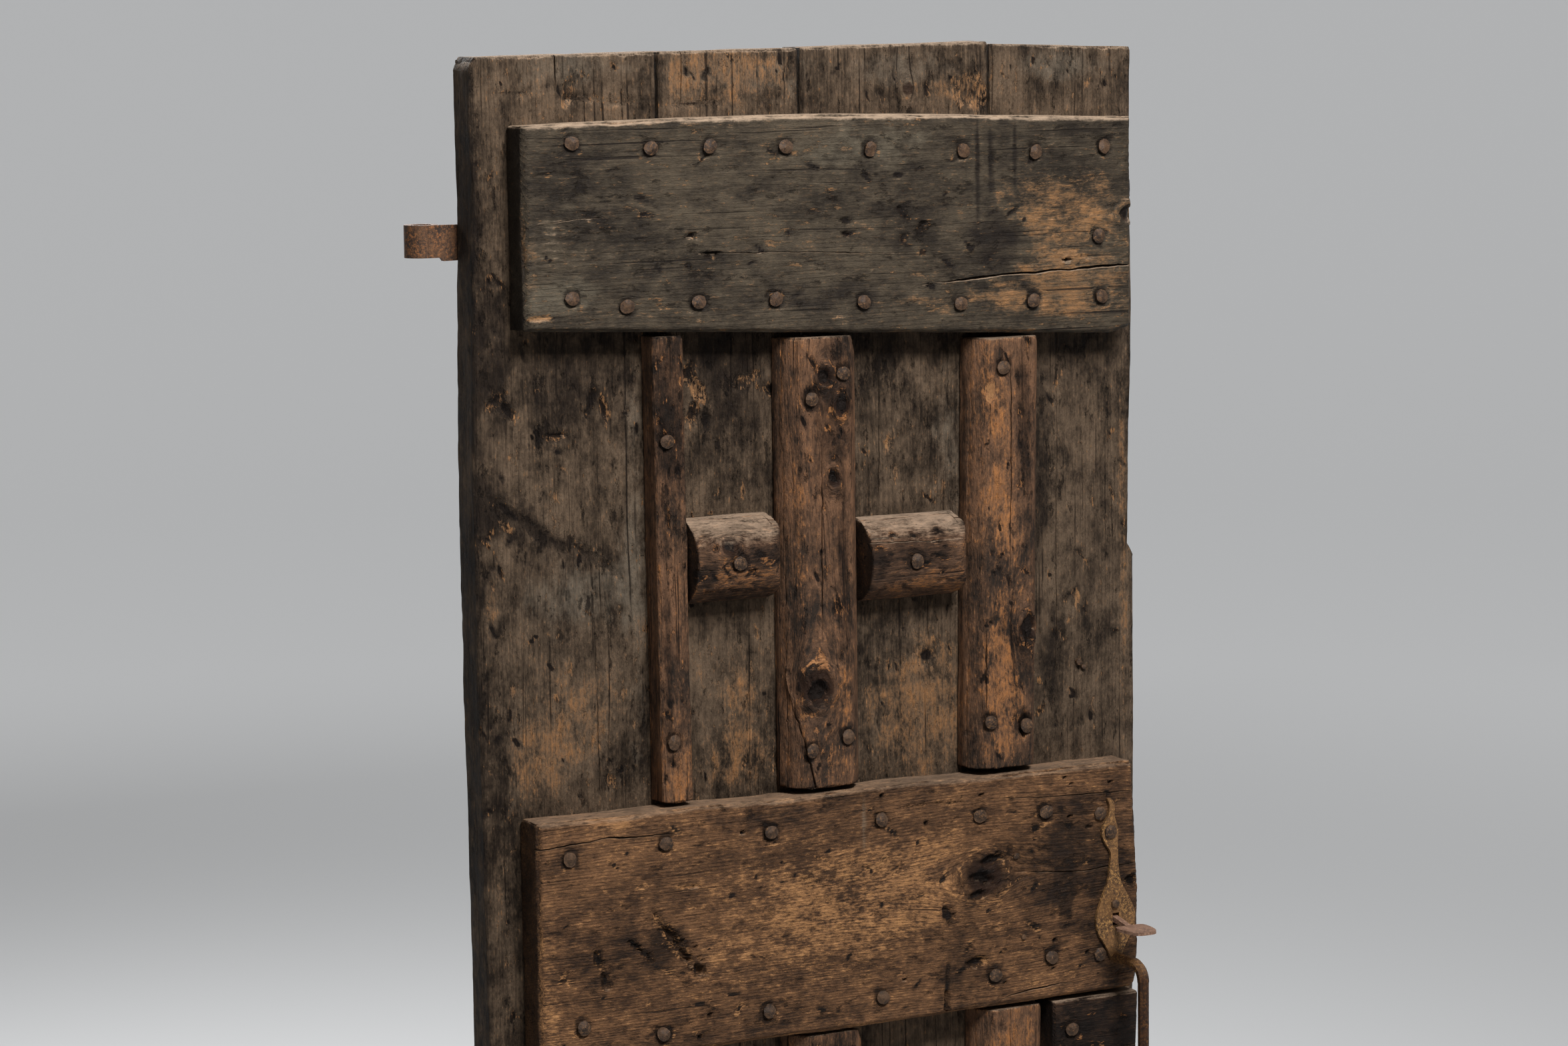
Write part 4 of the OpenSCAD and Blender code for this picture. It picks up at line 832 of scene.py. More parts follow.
hewn_timber(
    "hinge_board", seed=1, pith=(40, 90), **BOARD_LOOK,
    back_knots=[knot((70, 1180), 16), knot((160, 620), 20), knot((110, 1520), 12)],
    cracks=[crack([(110, 2060), (109, 2020)], 2.4, 9), crack([(150, 1330), (152, 1180)], 1.2, 4)],
    gouges=[
        gouge((127, 2014), (20, 10), 4, bare=0.7),
        gouge((26, 1662), (16, 7), 4, turn=50, bare=0.5, dirt_and_shade=0.9),
        gouge((42, 1650), (18, 8), 4.5, turn=-40, bare=0.4, dirt_and_shade=1.1),
        gouge((81, 1616), (18, 5), 4, dirt_and_shade=1.2), gouge((104, 1616), (5, 15), 4, bare=0.6, dirt_and_shade=1),
        gouge((150, 1655), (22, 6), 4.5, turn=20, dirt_and_shade=1.2),
        gouge((166, 1646), (20, 6), 4, turn=-14, bare=0.7, dirt_and_shade=1),
        gouge((40, 1532), (9, 46), 3, turn=34, bare=0, dirt_and_shade=0.6),
        gouge((92, 1496), (9, 48), 3, turn=30, bare=0, dirt_and_shade=0.5),
        gouge((130, 1484), (30, 7), 2.4, turn=-49, bare=0.2),
        gouge((166, 1460), (34, 7), 2.4, turn=-49, bare=0.2),
        gouge((60, 2016), (2.6, 38), 2, turn=2, bare=0.4), gouge((153, 2006), (3, 72), 2, turn=4, bare=0.4),
        gouge((180, 1216), (12, 5), 3, turn=30, dirt_and_shade=1), gouge((166, 1204), (9, 6), 3, turn=-20, bare=0.7),
        *nicks(101, (0, 1180), (230, 1740), 46), *nicks(151, (2, 2000), (230, 2050), 12),
        *nicks(161, (2, 880), (42, 1980), 34),
    ],
    stains=[
        stain("soot_and_shade", (120, 1690), (120, 130), 0.75), stain("soot_and_shade", (60, 1515), (34, 90), 0.7, turn=34),
        stain("grey", (205, 1480), (230, 26), 0.6), stain("rub", (16, 1430), (60, 16), 0.8),
        stain("soot_and_shade", (18, 1560), (640, 26), 0.4), stain("rub", (120, 1290), (130, 80), 0.4),
        stain("grey", (120, 2040), (26, 110), 0.5), stain("grey", (120, 1425), (50, 90), 0.55),
        stain("rub", (60, 1230), (60, 50), 0.5), stain("soot_and_shade", (150, 1210), (40, 44), 0.45),
        stain("soot_and_shade", (130, 1380), (60, 40), 0.35), stain("rub", (12, 1900), (110, 9), 0.5),
        stain("rub", (20, 1130), (120, 14), 0.45),
    ],
)
hewn_timber(
    "second_board", seed=2, pith=(-30, 80), **BOARD_LOOK,
    back_knots=[knot((330, 900), 18), knot((300, 360), 13)],
    cracks=[crack([(273, 2060), (272, 1990)], 1.8, 7)],
    gouges=[
        gouge((275, 1680), (15, 8), 4, turn=30, bare=0.6, dirt_and_shade=1.2),
        gouge((290, 1660), (18, 8), 4, turn=-30, bare=0.9),
        gouge((282, 1635), (18, 7), 4, turn=20, bare=0.7, dirt_and_shade=1.1),
        gouge((300, 1622), (12, 6), 4, bare=0.3, dirt_and_shade=1.2), gouge((290, 1998), (3, 44), 2, bare=0.4),
        gouge((281, 2036), (9, 6), 2, dirt_and_shade=1),
        gouge((392, 1655), (8, 22), 3.5, turn=12, bare=0.7, dirt_and_shade=0.9),
        gouge((352, 1668), (9, 20), 3, turn=-20, bare=0.6), gouge((392, 1208), (14, 14), 2.5, bare=0.5),
        *nicks(102, (250, 1180), (430, 1740), 36), *nicks(152, (245, 2000), (430, 2050), 12),
    ],
    stains=[
        stain("soot_and_shade", (340, 1690), (130, 100), 0.85), stain("rub", (345, 1300), (90, 34), 0.55),
        stain("rub", (330, 2035), (40, 100), 0.9), stain("grey", (330, 2030), (30, 90), 0.6),
        stain("rub", (330, 1210), (44, 90), 0.6), stain("grey", (258, 1330), (150, 9), 1.0),
        stain("grey", (258, 1580), (60, 8), 0.9), stain("soot_and_shade", (320, 1390), (70, 60), 0.35),
    ],
)
hewn_timber(
    "third_board", seed=3, pith=(20, 60), **BOARD_LOOK,
    back_knots=[knot((560, 1400), 22), knot((640, 760), 15), knot((520, 240), 17)],
    cracks=[crack([(536, 1680), (534, 1490)], 1.6, 6), crack([(600, 1420), (604, 1270)], 1.0, 4)],
    gouges=[
        gouge((668, 2003), (24, 26), 4, turn=30, bare=0.8),
        gouge((601, 1317), (13, 12), 4.5, bare=0.6, dirt_and_shade=1.2),
        gouge((549, 1579), (10, 6), 2, bare=0.9, dirt_and_shade=0.2), gouge((559, 1546), (12, 5), 2, bare=0.8),
        *nicks(103, (455, 1180), (690, 1740), 44), *nicks(153, (450, 2000), (690, 2050), 14),
    ],
    knots=[knot((580, 2010), 9)],
    stains=[
        stain("rub", (549, 1579), (18, 9), 0.7), stain("rub", (590, 1260), (120, 90), 0.75),
        stain("soot_and_shade", (570, 1720), (60, 120), 0.7), stain("grey", (560, 2035), (26, 120), 0.5),
        stain("soot_and_shade", (570, 1380), (50, 90), 0.3), stain("rub", (640, 2010), (24, 40), 0.6),
        stain("grey", (640, 1560), (120, 40), 0.35),
    ],
)
# The thumb lever's tail passes through the latch board and the middle ledge here.
LEVER_MORTISE = {ALONG_X: (833.5, 846.5), ALONG_Z: (960, 994)}
hewn_timber(
    "latch_board", seed=4, pith=(-20, 70), **BOARD_LOOK,
    back_knots=[knot((800, 1290), 17), knot((760, 480), 14)],
    cracks=[crack([(790, 1700), (786, 1250)], 1.2, 5)],
    gouges=[
        gouge((818, 1372), (16, 4), 1.6, bare=0.9, dirt_and_shade=0), gouge((822, 1286), (8, 6), 2.5, dirt_and_shade=1),
        *nicks(104, (740, 1180), (890, 1740), 34), *nicks(154, (705, 2000), (880, 2040), 12),
    ],
    stains=[
        stain("rub", (886, 1480), (280, 10), 0.8), stain("soot_and_shade", (750, 1560), (190, 40), 0.6),
        stain("grey", (800, 2035), (26, 90), 0.5), stain("soot_and_shade", (820, 1710), (60, 80), 0.7),
        stain("soot_and_shade", (840, 1420), (220, 56), 0.55), stain("soot_and_shade", (770, 1290), (90, 30), 0.6),
    ],
    mortise=LEVER_MORTISE,
)

# Ledges. Three thick pine planks lie across the boards, nailed through them and clenched behind.
# The top one is grey-black with soot, and the middle one, which carries the latch, is warm brown.

top_ledge_pine = old_pine(
    "top_ledge_pine", dark=srgb(33, 27, 21), middle=srgb(79, 69, 56), rubbed=srgb(160, 112, 68),
    grey=srgb(98, 90, 76), rub_level=-0.1, grey_level=0.1, ring_pitch=0.005, sheen=0.5, grain_level=0.45,
    cloud_level=0.7, dust_and_top_light_level=0.95, relief=0.0016,
)
hewn_timber(
    "top_ledge", ALONG_X, top_ledge_pine, "top_ledge_pine", seed=5, pitch=(2.5, 4.4), wear=3.6,
    pith=(30, 40), uneven=2.6, torn_ends=2.8, nails=driven("top_ledge_nails"),
    ripples=[stain("ripple", (80, 1840), (46, 40), 1.3), stain("ripple", (800, 1830), (90, 34), 1.0),
             stain("ripple", (420, 1790), (90, 20), 0.7)],
    cracks=[
        crack([(565, 1774), (669, 1782), (876, 1788)], 4.5, 13),
        crack([(250, 1826), (330, 1824), (560, 1814)], 2.0, 7), crack([(60, 1866), (150, 1872)], 1.4, 4),
    ],
    gouges=[
        gouge((779, 1797), (5, 4), 6, bare=0, dirt_and_shade=1.2), gouge((262, 1846), (6, 5), 5, bare=0.5, dirt_and_shade=1.2),
        gouge((288, 1824), (16, 3.4), 5, bare=0.3, dirt_and_shade=1.2),
        gouge((292, 1818), (4, 2.6), 2, bare=1.1, dirt_and_shade=0),
        gouge((470, 1856), (11, 3.6), 3, turn=-14, dirt_and_shade=1),
        gouge((470, 1840), (10, 3.6), 3, turn=-22, dirt_and_shade=1),
        gouge((548, 1862), (16, 5), 3.5, turn=-50, bare=0.2, dirt_and_shade=1),
        gouge((576, 1846), (12, 6), 4, turn=35, bare=0.5),
        gouge((548, 1832), (6, 6), 3, bare=0.5, dirt_and_shade=0.8),
        gouge((430, 1806), (30, 5), 1.6, turn=-26, bare=0.2),
        gouge((200, 1890), (26, 8), 1.8, turn=-20, bare=0.2),
        gouge((140, 1868), (34, 6), 1.8, turn=-28, bare=0.3),
        gouge((66, 1758), (18, 4), 2, bare=1.0, dirt_and_shade=0), gouge((867, 1851), (14, 12), 5, bare=0.4, dirt_and_shade=1),
        gouge((700, 1858), (12, 4), 2.5, turn=30, dirt_and_shade=1),
        gouge((610, 1800), (20, 5), 2, turn=-40, dirt_and_shade=0.8), *nicks(105, (60, 1765), (860, 1975), 48, 1.6),
    ],
    knots=[knot((867, 1851), 12, 1.5)],
    stains=[
        stain("rub", (770, 1860), (130, 66), 1.0), stain("soot_and_shade", (680, 1826), (44, 46), 0.9),
        stain("grey", (92, 1782), (56, 26), 0.7), stain("soot_and_shade", (330, 1880), (240, 56), 0.4),
        stain("rub", (760, 1760), (150, 40), 1.2), stain("soot_and_shade", (240, 1800), (80, 40), 0.35),
        stain("soot_and_shade", (652, 1924), (4, 58), 1.3), stain("soot_and_shade", (671, 1926), (4, 56), 1.2),
        stain("soot_and_shade", (704, 1934), (4, 46), 1.1), stain("soot_and_shade", (430, 1770), (120, 20), 0.5),
        stain("rub", (460, 1757), (400, 5), 0.7), stain("soot_and_shade", (90, 1930), (60, 40), 0.35),
        stain("rub", (230, 1975), (140, 8), 0.5), stain("soot_and_shade", (560, 1850), (40, 40), 0.6),
        stain("rub", (450, 1850), (90, 40), 0.35), stain("grey", (480, 1940), (120, 30), 0.5),
        stain("rub", (56, 1840), (14, 60), 0.5),
    ],
)
middle_ledge_pine = old_pine(
    "middle_ledge_pine", dark=srgb(52, 36, 25), middle=srgb(124, 89, 61), rubbed=srgb(178, 130, 84),
    grey=srgb(112, 98, 82), rub_level=0.14, grey_level=-0.1, ring_pitch=0.0032, sheen=0.2, grain_level=0.85,
    cloud_level=0.55, dust_and_top_light_level=0.35,
)
WORM_HOLES = (
    (270, 918), (255, 892), (315, 1133), (507, 1158), (648, 1146), (570, 1119), (776, 1147), (768, 1156),
    (834, 1144), (776, 1107), (803, 1091), (657, 1035), (754, 952), (750, 917), (801, 931), (681, 908),
    (536, 928),
)
hewn_timber(
    "middle_ledge", ALONG_X, middle_ledge_pine, "middle_ledge_pine", seed=6, pitch=(2.5, 4.4), wear=4.2,
    pith=(240, 60), uneven=2.6, torn_ends=2.8, nails=driven("middle_ledge_nails"),
    ripples=[stain("ripple", (420, 1010), (230, 70), 0.7), stain("ripple", (690, 1050), (60, 40), 1.2),
             stain("ripple", (120, 940), (80, 50), 0.6)],
    cracks=[
        crack([(46, 1139), (133, 1145), (243, 1141)], 3.0, 10),
        crack([(562, 1147), (735, 1135), (876, 1129)], 2.2, 9),
        crack([(690, 1046), (728, 1040), (788, 1036), (876, 1038)], 2.0, 7),
        crack([(656, 880), (686, 889), (727, 895), (784, 896)], 2.8, 10),
    ],
    gouges=[
        gouge((122, 1002), (5, 14), 5, turn=14, bare=0.3, dirt_and_shade=1.2),
        gouge((131, 976), (6, 14), 5, turn=14, dirt_and_shade=1),
        gouge((170, 1014), (14, 4), 4, turn=-40, bare=0.3, dirt_and_shade=1.1),
        gouge((186, 1000), (14, 4), 4, turn=-40, dirt_and_shade=1),
        gouge((230, 1004), (46, 11), 4, turn=-51, bare=0.6, dirt_and_shade=0.6, ragged=1),
        gouge((220, 1018), (24, 5), 5, turn=-51, bare=0.3, dirt_and_shade=1.2),
        gouge((238, 992), (16, 4), 5, turn=-56, dirt_and_shade=1.2),
        gouge((254, 973), (10, 7), 5, turn=-40, bare=0.5, dirt_and_shade=1.1),
        gouge((640, 938), (16, 8), 5, bare=0.5, dirt_and_shade=1),
        gouge((663, 1064), (22, 7), 5, turn=10, bare=0.4, dirt_and_shade=1.3),
        gouge((648, 1042), (20, 8), 6, turn=-20, bare=0.4, dirt_and_shade=1.3),
        gouge((640, 1022), (14, 6), 5, turn=10, bare=0.5, dirt_and_shade=1.3),
        gouge((599, 1002), (10, 16), 4, turn=30, dirt_and_shade=1.1),
        gouge((597, 932), (2.2, 56), 3.5, bare=0.1, dirt_and_shade=1),
        gouge((597, 892), (3.4, 20), 7, bare=0, dirt_and_shade=1.3),
        gouge((490, 1072), (9, 4), 2, bare=1.2, dirt_and_shade=0.4),
        gouge((510, 1080), (4, 14), 2, turn=-30, bare=1, dirt_and_shade=0.5),
        gouge((530, 1068), (4, 12), 2, turn=-40, bare=0.9, dirt_and_shade=0.5),
        gouge((245, 1076), (16, 3.4), 2.5, bare=0.8), gouge((866, 1016), (12, 10), 5, bare=0.4, dirt_and_shade=1),
        gouge((725, 1096), (9, 7), 2, turn=40, dirt_and_shade=0.8), gouge((707, 961), (3, 5), 2, bare=1.0, dirt_and_shade=0.4),
        *[gouge(hole, (3.2, 2.8), 5, bare=0, dirt_and_shade=1.4) for hole in WORM_HOLES],
        *nicks(106, (60, 890), (860, 1150), 84, 1.6),
    ],
    knots=[knot((650, 1044), 30, 2.5)],
    stains=[
        stain("soot_and_shade", (768, 1028), (16, 46), 1.3), stain("soot_and_shade", (790, 1050), (100, 100), 0.75),
        stain("rub", (470, 1030), (200, 80), 0.7), stain("rub", (150, 1160), (16, 6), 1.3),
        stain("soot_and_shade", (150, 1000), (100, 46), 0.6), stain("soot_and_shade", (615, 930), (60, 60), 0.6),
        stain("rub", (124, 1165), (12, 6), 1.4), stain("soot_and_shade", (220, 1010), (36, 36), 0.7),
        stain("soot_and_shade", (300, 900), (180, 30), 0.45), stain("soot_and_shade", (648, 1040), (60, 40), 0.6),
        stain("grey", (482, 1130), (5, 40), 0.9), stain("soot_and_shade", (90, 1110), (60, 30), 0.4),
        stain("rub", (60, 950), (14, 90), 0.5), stain("soot_and_shade", (400, 1150), (140, 14), 0.5),
        stain("soot_and_shade", (840, 940), (60, 60), 0.7),
    ],
    mortise=LEVER_MORTISE,
)
hewn_timber(
    "bottom_ledge", ALONG_X, middle_ledge_pine, "middle_ledge_pine", seed=7, pitch=(3.6, 6.5), wear=4.0,
    pith=(220, 50), nails=driven("bottom_ledge_nails"),
    cracks=[crack([(46, 210), (240, 216)], 2.4, 9), crack([(560, 150), (876, 146)], 2.0, 8)],
    gouges=[
        gouge((330, 120), (22, 8), 3), gouge((610, 240), (14, 10), 3, bare=0.3),
        *nicks(107, (60, 70), (860, 320), 60, 1.6),
    ],
    knots=[knot((430, 190), 16, 1.2)],
    stains=[
        stain("soot_and_shade", (460, 80), (430, 30), 0.8), stain("grey", (300, 290), (200, 40), 0.5),
        stain("rub", (520, 200), (200, 60), 0.4), stain("soot_and_shade", (760, 220), (90, 70), 0.5),
    ],
)

# Cover strips. Hewn half-logs, split from small trunks, are nailed over the joints of the boards
# between the ledges and keep the draught out.

strip_pine = old_pine(
    "strip_pine", dark=srgb(41, 34, 29), middle=srgb(122, 89, 66), rubbed=srgb(174, 114, 62),
    grey=srgb(118, 102, 88), rub_level=0.05, grey_level=-0.05, ring_pitch=0.0034, grain_level=0.7,
    dust_and_top_light_level=0.5,
)
STRIP_LOOK = {
    "along": ALONG_Z, "material": strip_pine, "slot": "strip_pine", "wear": 2.6, "hewn": 1.6, "soften": 3,
    "rim_share": 0.62, "uneven": 2.6, "torn_ends": 2.0, "nails": driven("strip_nails"),
}
CLOSE = {"pitch": (2.2, 4.4)}
PLAIN = {"pitch": (3.0, 7.0)}
hewn_timber("upper_first_strip", seed=11, pith=(0, 10), **STRIP_LOOK, **CLOSE,
            gouges=nicks(111, (222, 1190), (252, 1720), 26),
            stains=[stain("soot_and_shade", (237, 1640), (150, 34), 0.7), stain("rub", (240, 1215), (60, 16), 0.9),
                    stain("soot_and_shade", (228, 1350), (170, 8), 0.7)])
hewn_timber(
    "upper_second_strip", seed=12, pith=(0, 6), **STRIP_LOOK, **CLOSE,
    cracks=[crack([(434, 1600), (431, 1350)], 2.2, 9), crack([(390, 1306), (422, 1172)], 2.4, 10)],
    gouges=[
        gouge((437, 1672), (15, 9), 5, bare=0.4, dirt_and_shade=1.3),
        gouge((424, 1292), (16, 13), 6, bare=0.3, dirt_and_shade=1.3),
        gouge((428, 1328), (14, 9), 1.5, bare=0.7, dirt_and_shade=0.2),
        gouge((400, 1300), (22, 5), 3, turn=14, dirt_and_shade=1), gouge((404, 1262), (3, 18), 3, turn=-20, bare=1),
        gouge((448, 1552), (10, 7), 4.5, bare=0.4, dirt_and_shade=1.3),
        gouge((462, 1640), (20, 9), 4.5, bare=0.3, dirt_and_shade=1.2), *nicks(112, (395, 1190), (470, 1720), 40),
    ],
    knots=[
        knot((437, 1672), 13, 3), knot((460, 1636), 13, 4), knot((448, 1547), 11, 3),
        knot((422, 1299), 25, 5),
    ],
    stains=[
        stain("soot_and_shade", (450, 1620), (130, 34), 0.9), stain("soot_and_shade", (462, 1430), (110, 14), 0.7),
        stain("rub", (440, 1240), (90, 34), 0.5), stain("soot_and_shade", (416, 1300), (44, 26), 0.6),
        stain("rub", (400, 1480), (120, 12), 0.6), stain("rub", (462, 1350), (120, 10), 0.6),
    ],
)
hewn_timber(
    "upper_third_strip", seed=13, pith=(4, 8), **STRIP_LOOK, **CLOSE,
    cracks=[crack([(698, 1700), (696, 1410)], 2.4, 10), crack([(661, 1350), (660, 1240)], 2.2, 9)],
    gouges=[
        gouge((720, 1346), (24, 11), 5, bare=0.5, dirt_and_shade=1.3), gouge((714, 1228), (18, 8), 5, dirt_and_shade=1.2),
        gouge((642, 1221), (6, 6), 3, dirt_and_shade=1.2), gouge((670, 1640), (14, 9), 2, bare=1, dirt_and_shade=0.2),
        *nicks(113, (645, 1190), (725, 1720), 40),
    ],
    knots=[knot((720, 1346), 17, 4)],
    stains=[
        stain("rub", (690, 1420), (240, 36), 0.5), stain("rub", (680, 1270), (110, 36), 0.7),
        stain("soot_and_shade", (716, 1600), (140, 14), 0.8), stain("rub", (668, 1640), (60, 24), 0.6),
        stain("soot_and_shade", (716, 1330), (50, 18), 0.8),
    ],
)
hewn_timber("lower_first_strip", seed=14, pith=(0, 10), **STRIP_LOOK, **PLAIN,
            gouges=nicks(114, (222, 340), (252, 870), 20),
            stains=[stain("rub", (237, 700), (120, 20), 0.5), stain("soot_and_shade", (237, 420), (110, 30), 0.6)])
hewn_timber("lower_second_strip", seed=15, pith=(0, 6), **STRIP_LOOK, **PLAIN,
            cracks=[crack([(440, 700), (444, 460)], 2.2, 9)], knots=[knot((436, 560), 14, 3)],
            gouges=nicks(115, (400, 340), (470, 870), 28),
            stains=[stain("soot_and_shade", (445, 420), (90, 40), 0.6), stain("soot_and_shade", (440, 860), (40, 40), 0.5)])
hewn_timber("lower_third_strip", seed=16, pith=(4, 8), **STRIP_LOOK, **PLAIN,
            cracks=[crack([(690, 860), (694, 640)], 2.4, 10)], knots=[knot((706, 520), 12, 3)],
            gouges=nicks(116, (650, 340), (725, 870), 28),
            stains=[stain("rub", (690, 800), (70, 34), 0.6), stain("soot_and_shade", (690, 400), (80, 40), 0.6)])

# Blocks. Two short half-logs lie between the strips, and a squared block below the middle ledge
# carries the foot of the handle. All are nailed to the boards.

block_pine = old_pine(
    "block_pine", dark=srgb(30, 21, 16), middle=srgb(100, 74, 56), rubbed=srgb(162, 106, 58),
    grey=srgb(136, 120, 104), rub_level=0.14, grey_level=0.05, ring_pitch=0.003, grain_level=0.75,
    dust_and_top_light_level=0.72,
)
BLOCK_LOOK = {
    "along": ALONG_X, "material": block_pine, "slot": "block_pine", "pitch": (2.2, 2.6), "wear": 3.4,
    "hewn": 1.4, "nails": driven("block_nails"),
}
hewn_timber("left_block", seed=21, pith=(0, 6), soften=3, rim_share=0.7, **BLOCK_LOOK,
            cracks=[crack([(262, 1452), (330, 1448)], 2.0, 8)], knots=[knot((304, 1478), 14, 1.5)],
            gouges=nicks(121, (262, 1420), (370, 1500), 22),
            stains=[stain("rub", (320, 1440), (60, 30), 0.8), stain("soot_and_shade", (350, 1460), (26, 26), 0.7),
                    stain("soot_and_shade", (275, 1450), (14, 40), 0.7)])
hewn_timber("right_block", seed=22, pith=(0, 6), soften=3, rim_share=0.7, **BLOCK_LOOK,
            cracks=[crack([(498, 1468), (600, 1464)], 1.8, 7)],
            gouges=nicks(122, (490, 1400), (620, 1490), 26),
            stains=[stain("rub", (570, 1410), (60, 16), 0.7), stain("soot_and_shade", (560, 1452), (70, 22), 0.6),
                    stain("soot_and_shade", (505, 1440), (16, 40), 0.7)])
hewn_timber("lock_block", seed=23, pith=(10, 50), **BLOCK_LOOK,
            cracks=[crack([(752, 800), (876, 806)], 1.6, 7)],
            gouges=nicks(123, (745, 700), (880, 860), 30),
            stains=[stain("soot_and_shade", (814, 790), (120, 110), 1.0)])

# Nails, straps and latch bar. Hand-forged iron: nails driven through and clenched, straps with a
# rolled eye, a bar on a stud behind a staple. All of it is rusted brown.

RUST_ROUGHNESS = 0.62
RUST_METALLIC = 0.1
RUST_SPECULAR = 0.25
rust, rust_in, rust_out = shader_group(
    "rusted_iron",
    [("Dark", COLOUR, srgb(40, 30, 25)), ("Rust", COLOUR, srgb(96, 66, 46)),
     ("Bloom", COLOUR, srgb(150, 98, 60)), ("Bloom Level", FLOAT, 0.3)],
    [("Color", COLOUR), ("Roughness", FLOAT), ("Height", FLOAT)],
)
iron_place = placed(rust, "ShaderNodeTexCoord").outputs["Object"]
cloud = maths(rust, "SUBTRACT", noise(rust, iron_place, 46, 4.0), 0.5)
scale_spots = maths(rust, "SUBTRACT", noise(rust, iron_place, 260, 4.0, 0.65), 0.5)
pits = maths(rust, "SUBTRACT", noise(rust, iron_place, 900, 3.0), 0.5)
iron_tone = ramp(rust, summed(rust, (cloud, 1.2), (scale_spots, 1.4), (pits, 0.8)), -0.4, 0.4)
iron_colour = blended(rust, iron_tone, rust_in["Dark"], rust_in["Rust"])
bloom = summed(rust, (rust_in["Bloom Level"], 1.0), (cloud, -1.0), (scale_spots, 1.6), (pits, 1.2))
iron_colour = blended(rust, ramp(rust, bloom, 0.3, 0.8, 0.8), iron_colour, rust_in["Bloom"])
rust.links.new(iron_colour, rust_out["Color"])
iron_rough = summed(rust, (scale_spots, 0.5), (cloud, -0.2))
rust.links.new(maths(rust, "ADD", iron_rough, RUST_ROUGHNESS), rust_out["Roughness"])
rust.links.new(summed(rust, (scale_spots, 1.0), (pits, 0.6), (cloud, 0.6)), rust_out["Height"])


def rusted(name, dark, rust_colour, bloom_colour, bloom_level, relief=0.0006):
    """Forged iron under old rust, in its own colours."""
    values = {"Dark": dark, "Rust": rust_colour, "Bloom": bloom_colour, "Bloom Level": bloom_level}
    material = made_of(name, rust, values, relief, RUST_SPECULAR)[0]
    material.node_tree.nodes["Principled BSDF"].inputs["Metallic"].default_value = RUST_METALLIC
    return material


def finished(material, *nodes):
    """Gives forged pieces their iron."""
    for node in nodes:
        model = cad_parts[node].data
        model.materials.clear()
        model.materials.append(material)


nail_iron = rusted("nail_iron", srgb(34, 25, 19), srgb(86, 64, 46), srgb(128, 92, 60), 0.2)
finished(nail_iron, "hinge_nails", "latch_nails", "thumb_pivot_pin", "bar_pivot_stud", "bar_staple")

HEAD_HEIGHT = 5.0
HEAD_RADIUS = 9.4
SHANK_HALF = 3.5
HEAD_SEAT = 0.8
SIDES = 18
BLOWS = 6
CLENCH_REACH = 30.0
BOARD_THICKNESS = 47.0
TIP_SHARES = (0.0, 0.04, 0.25, 0.5, 0.75, 0.93, 1.0)
TIP_ENDS = (0.0, 1.0)
TIP_SUNK = 0.6
SHARP_BLOW = 14


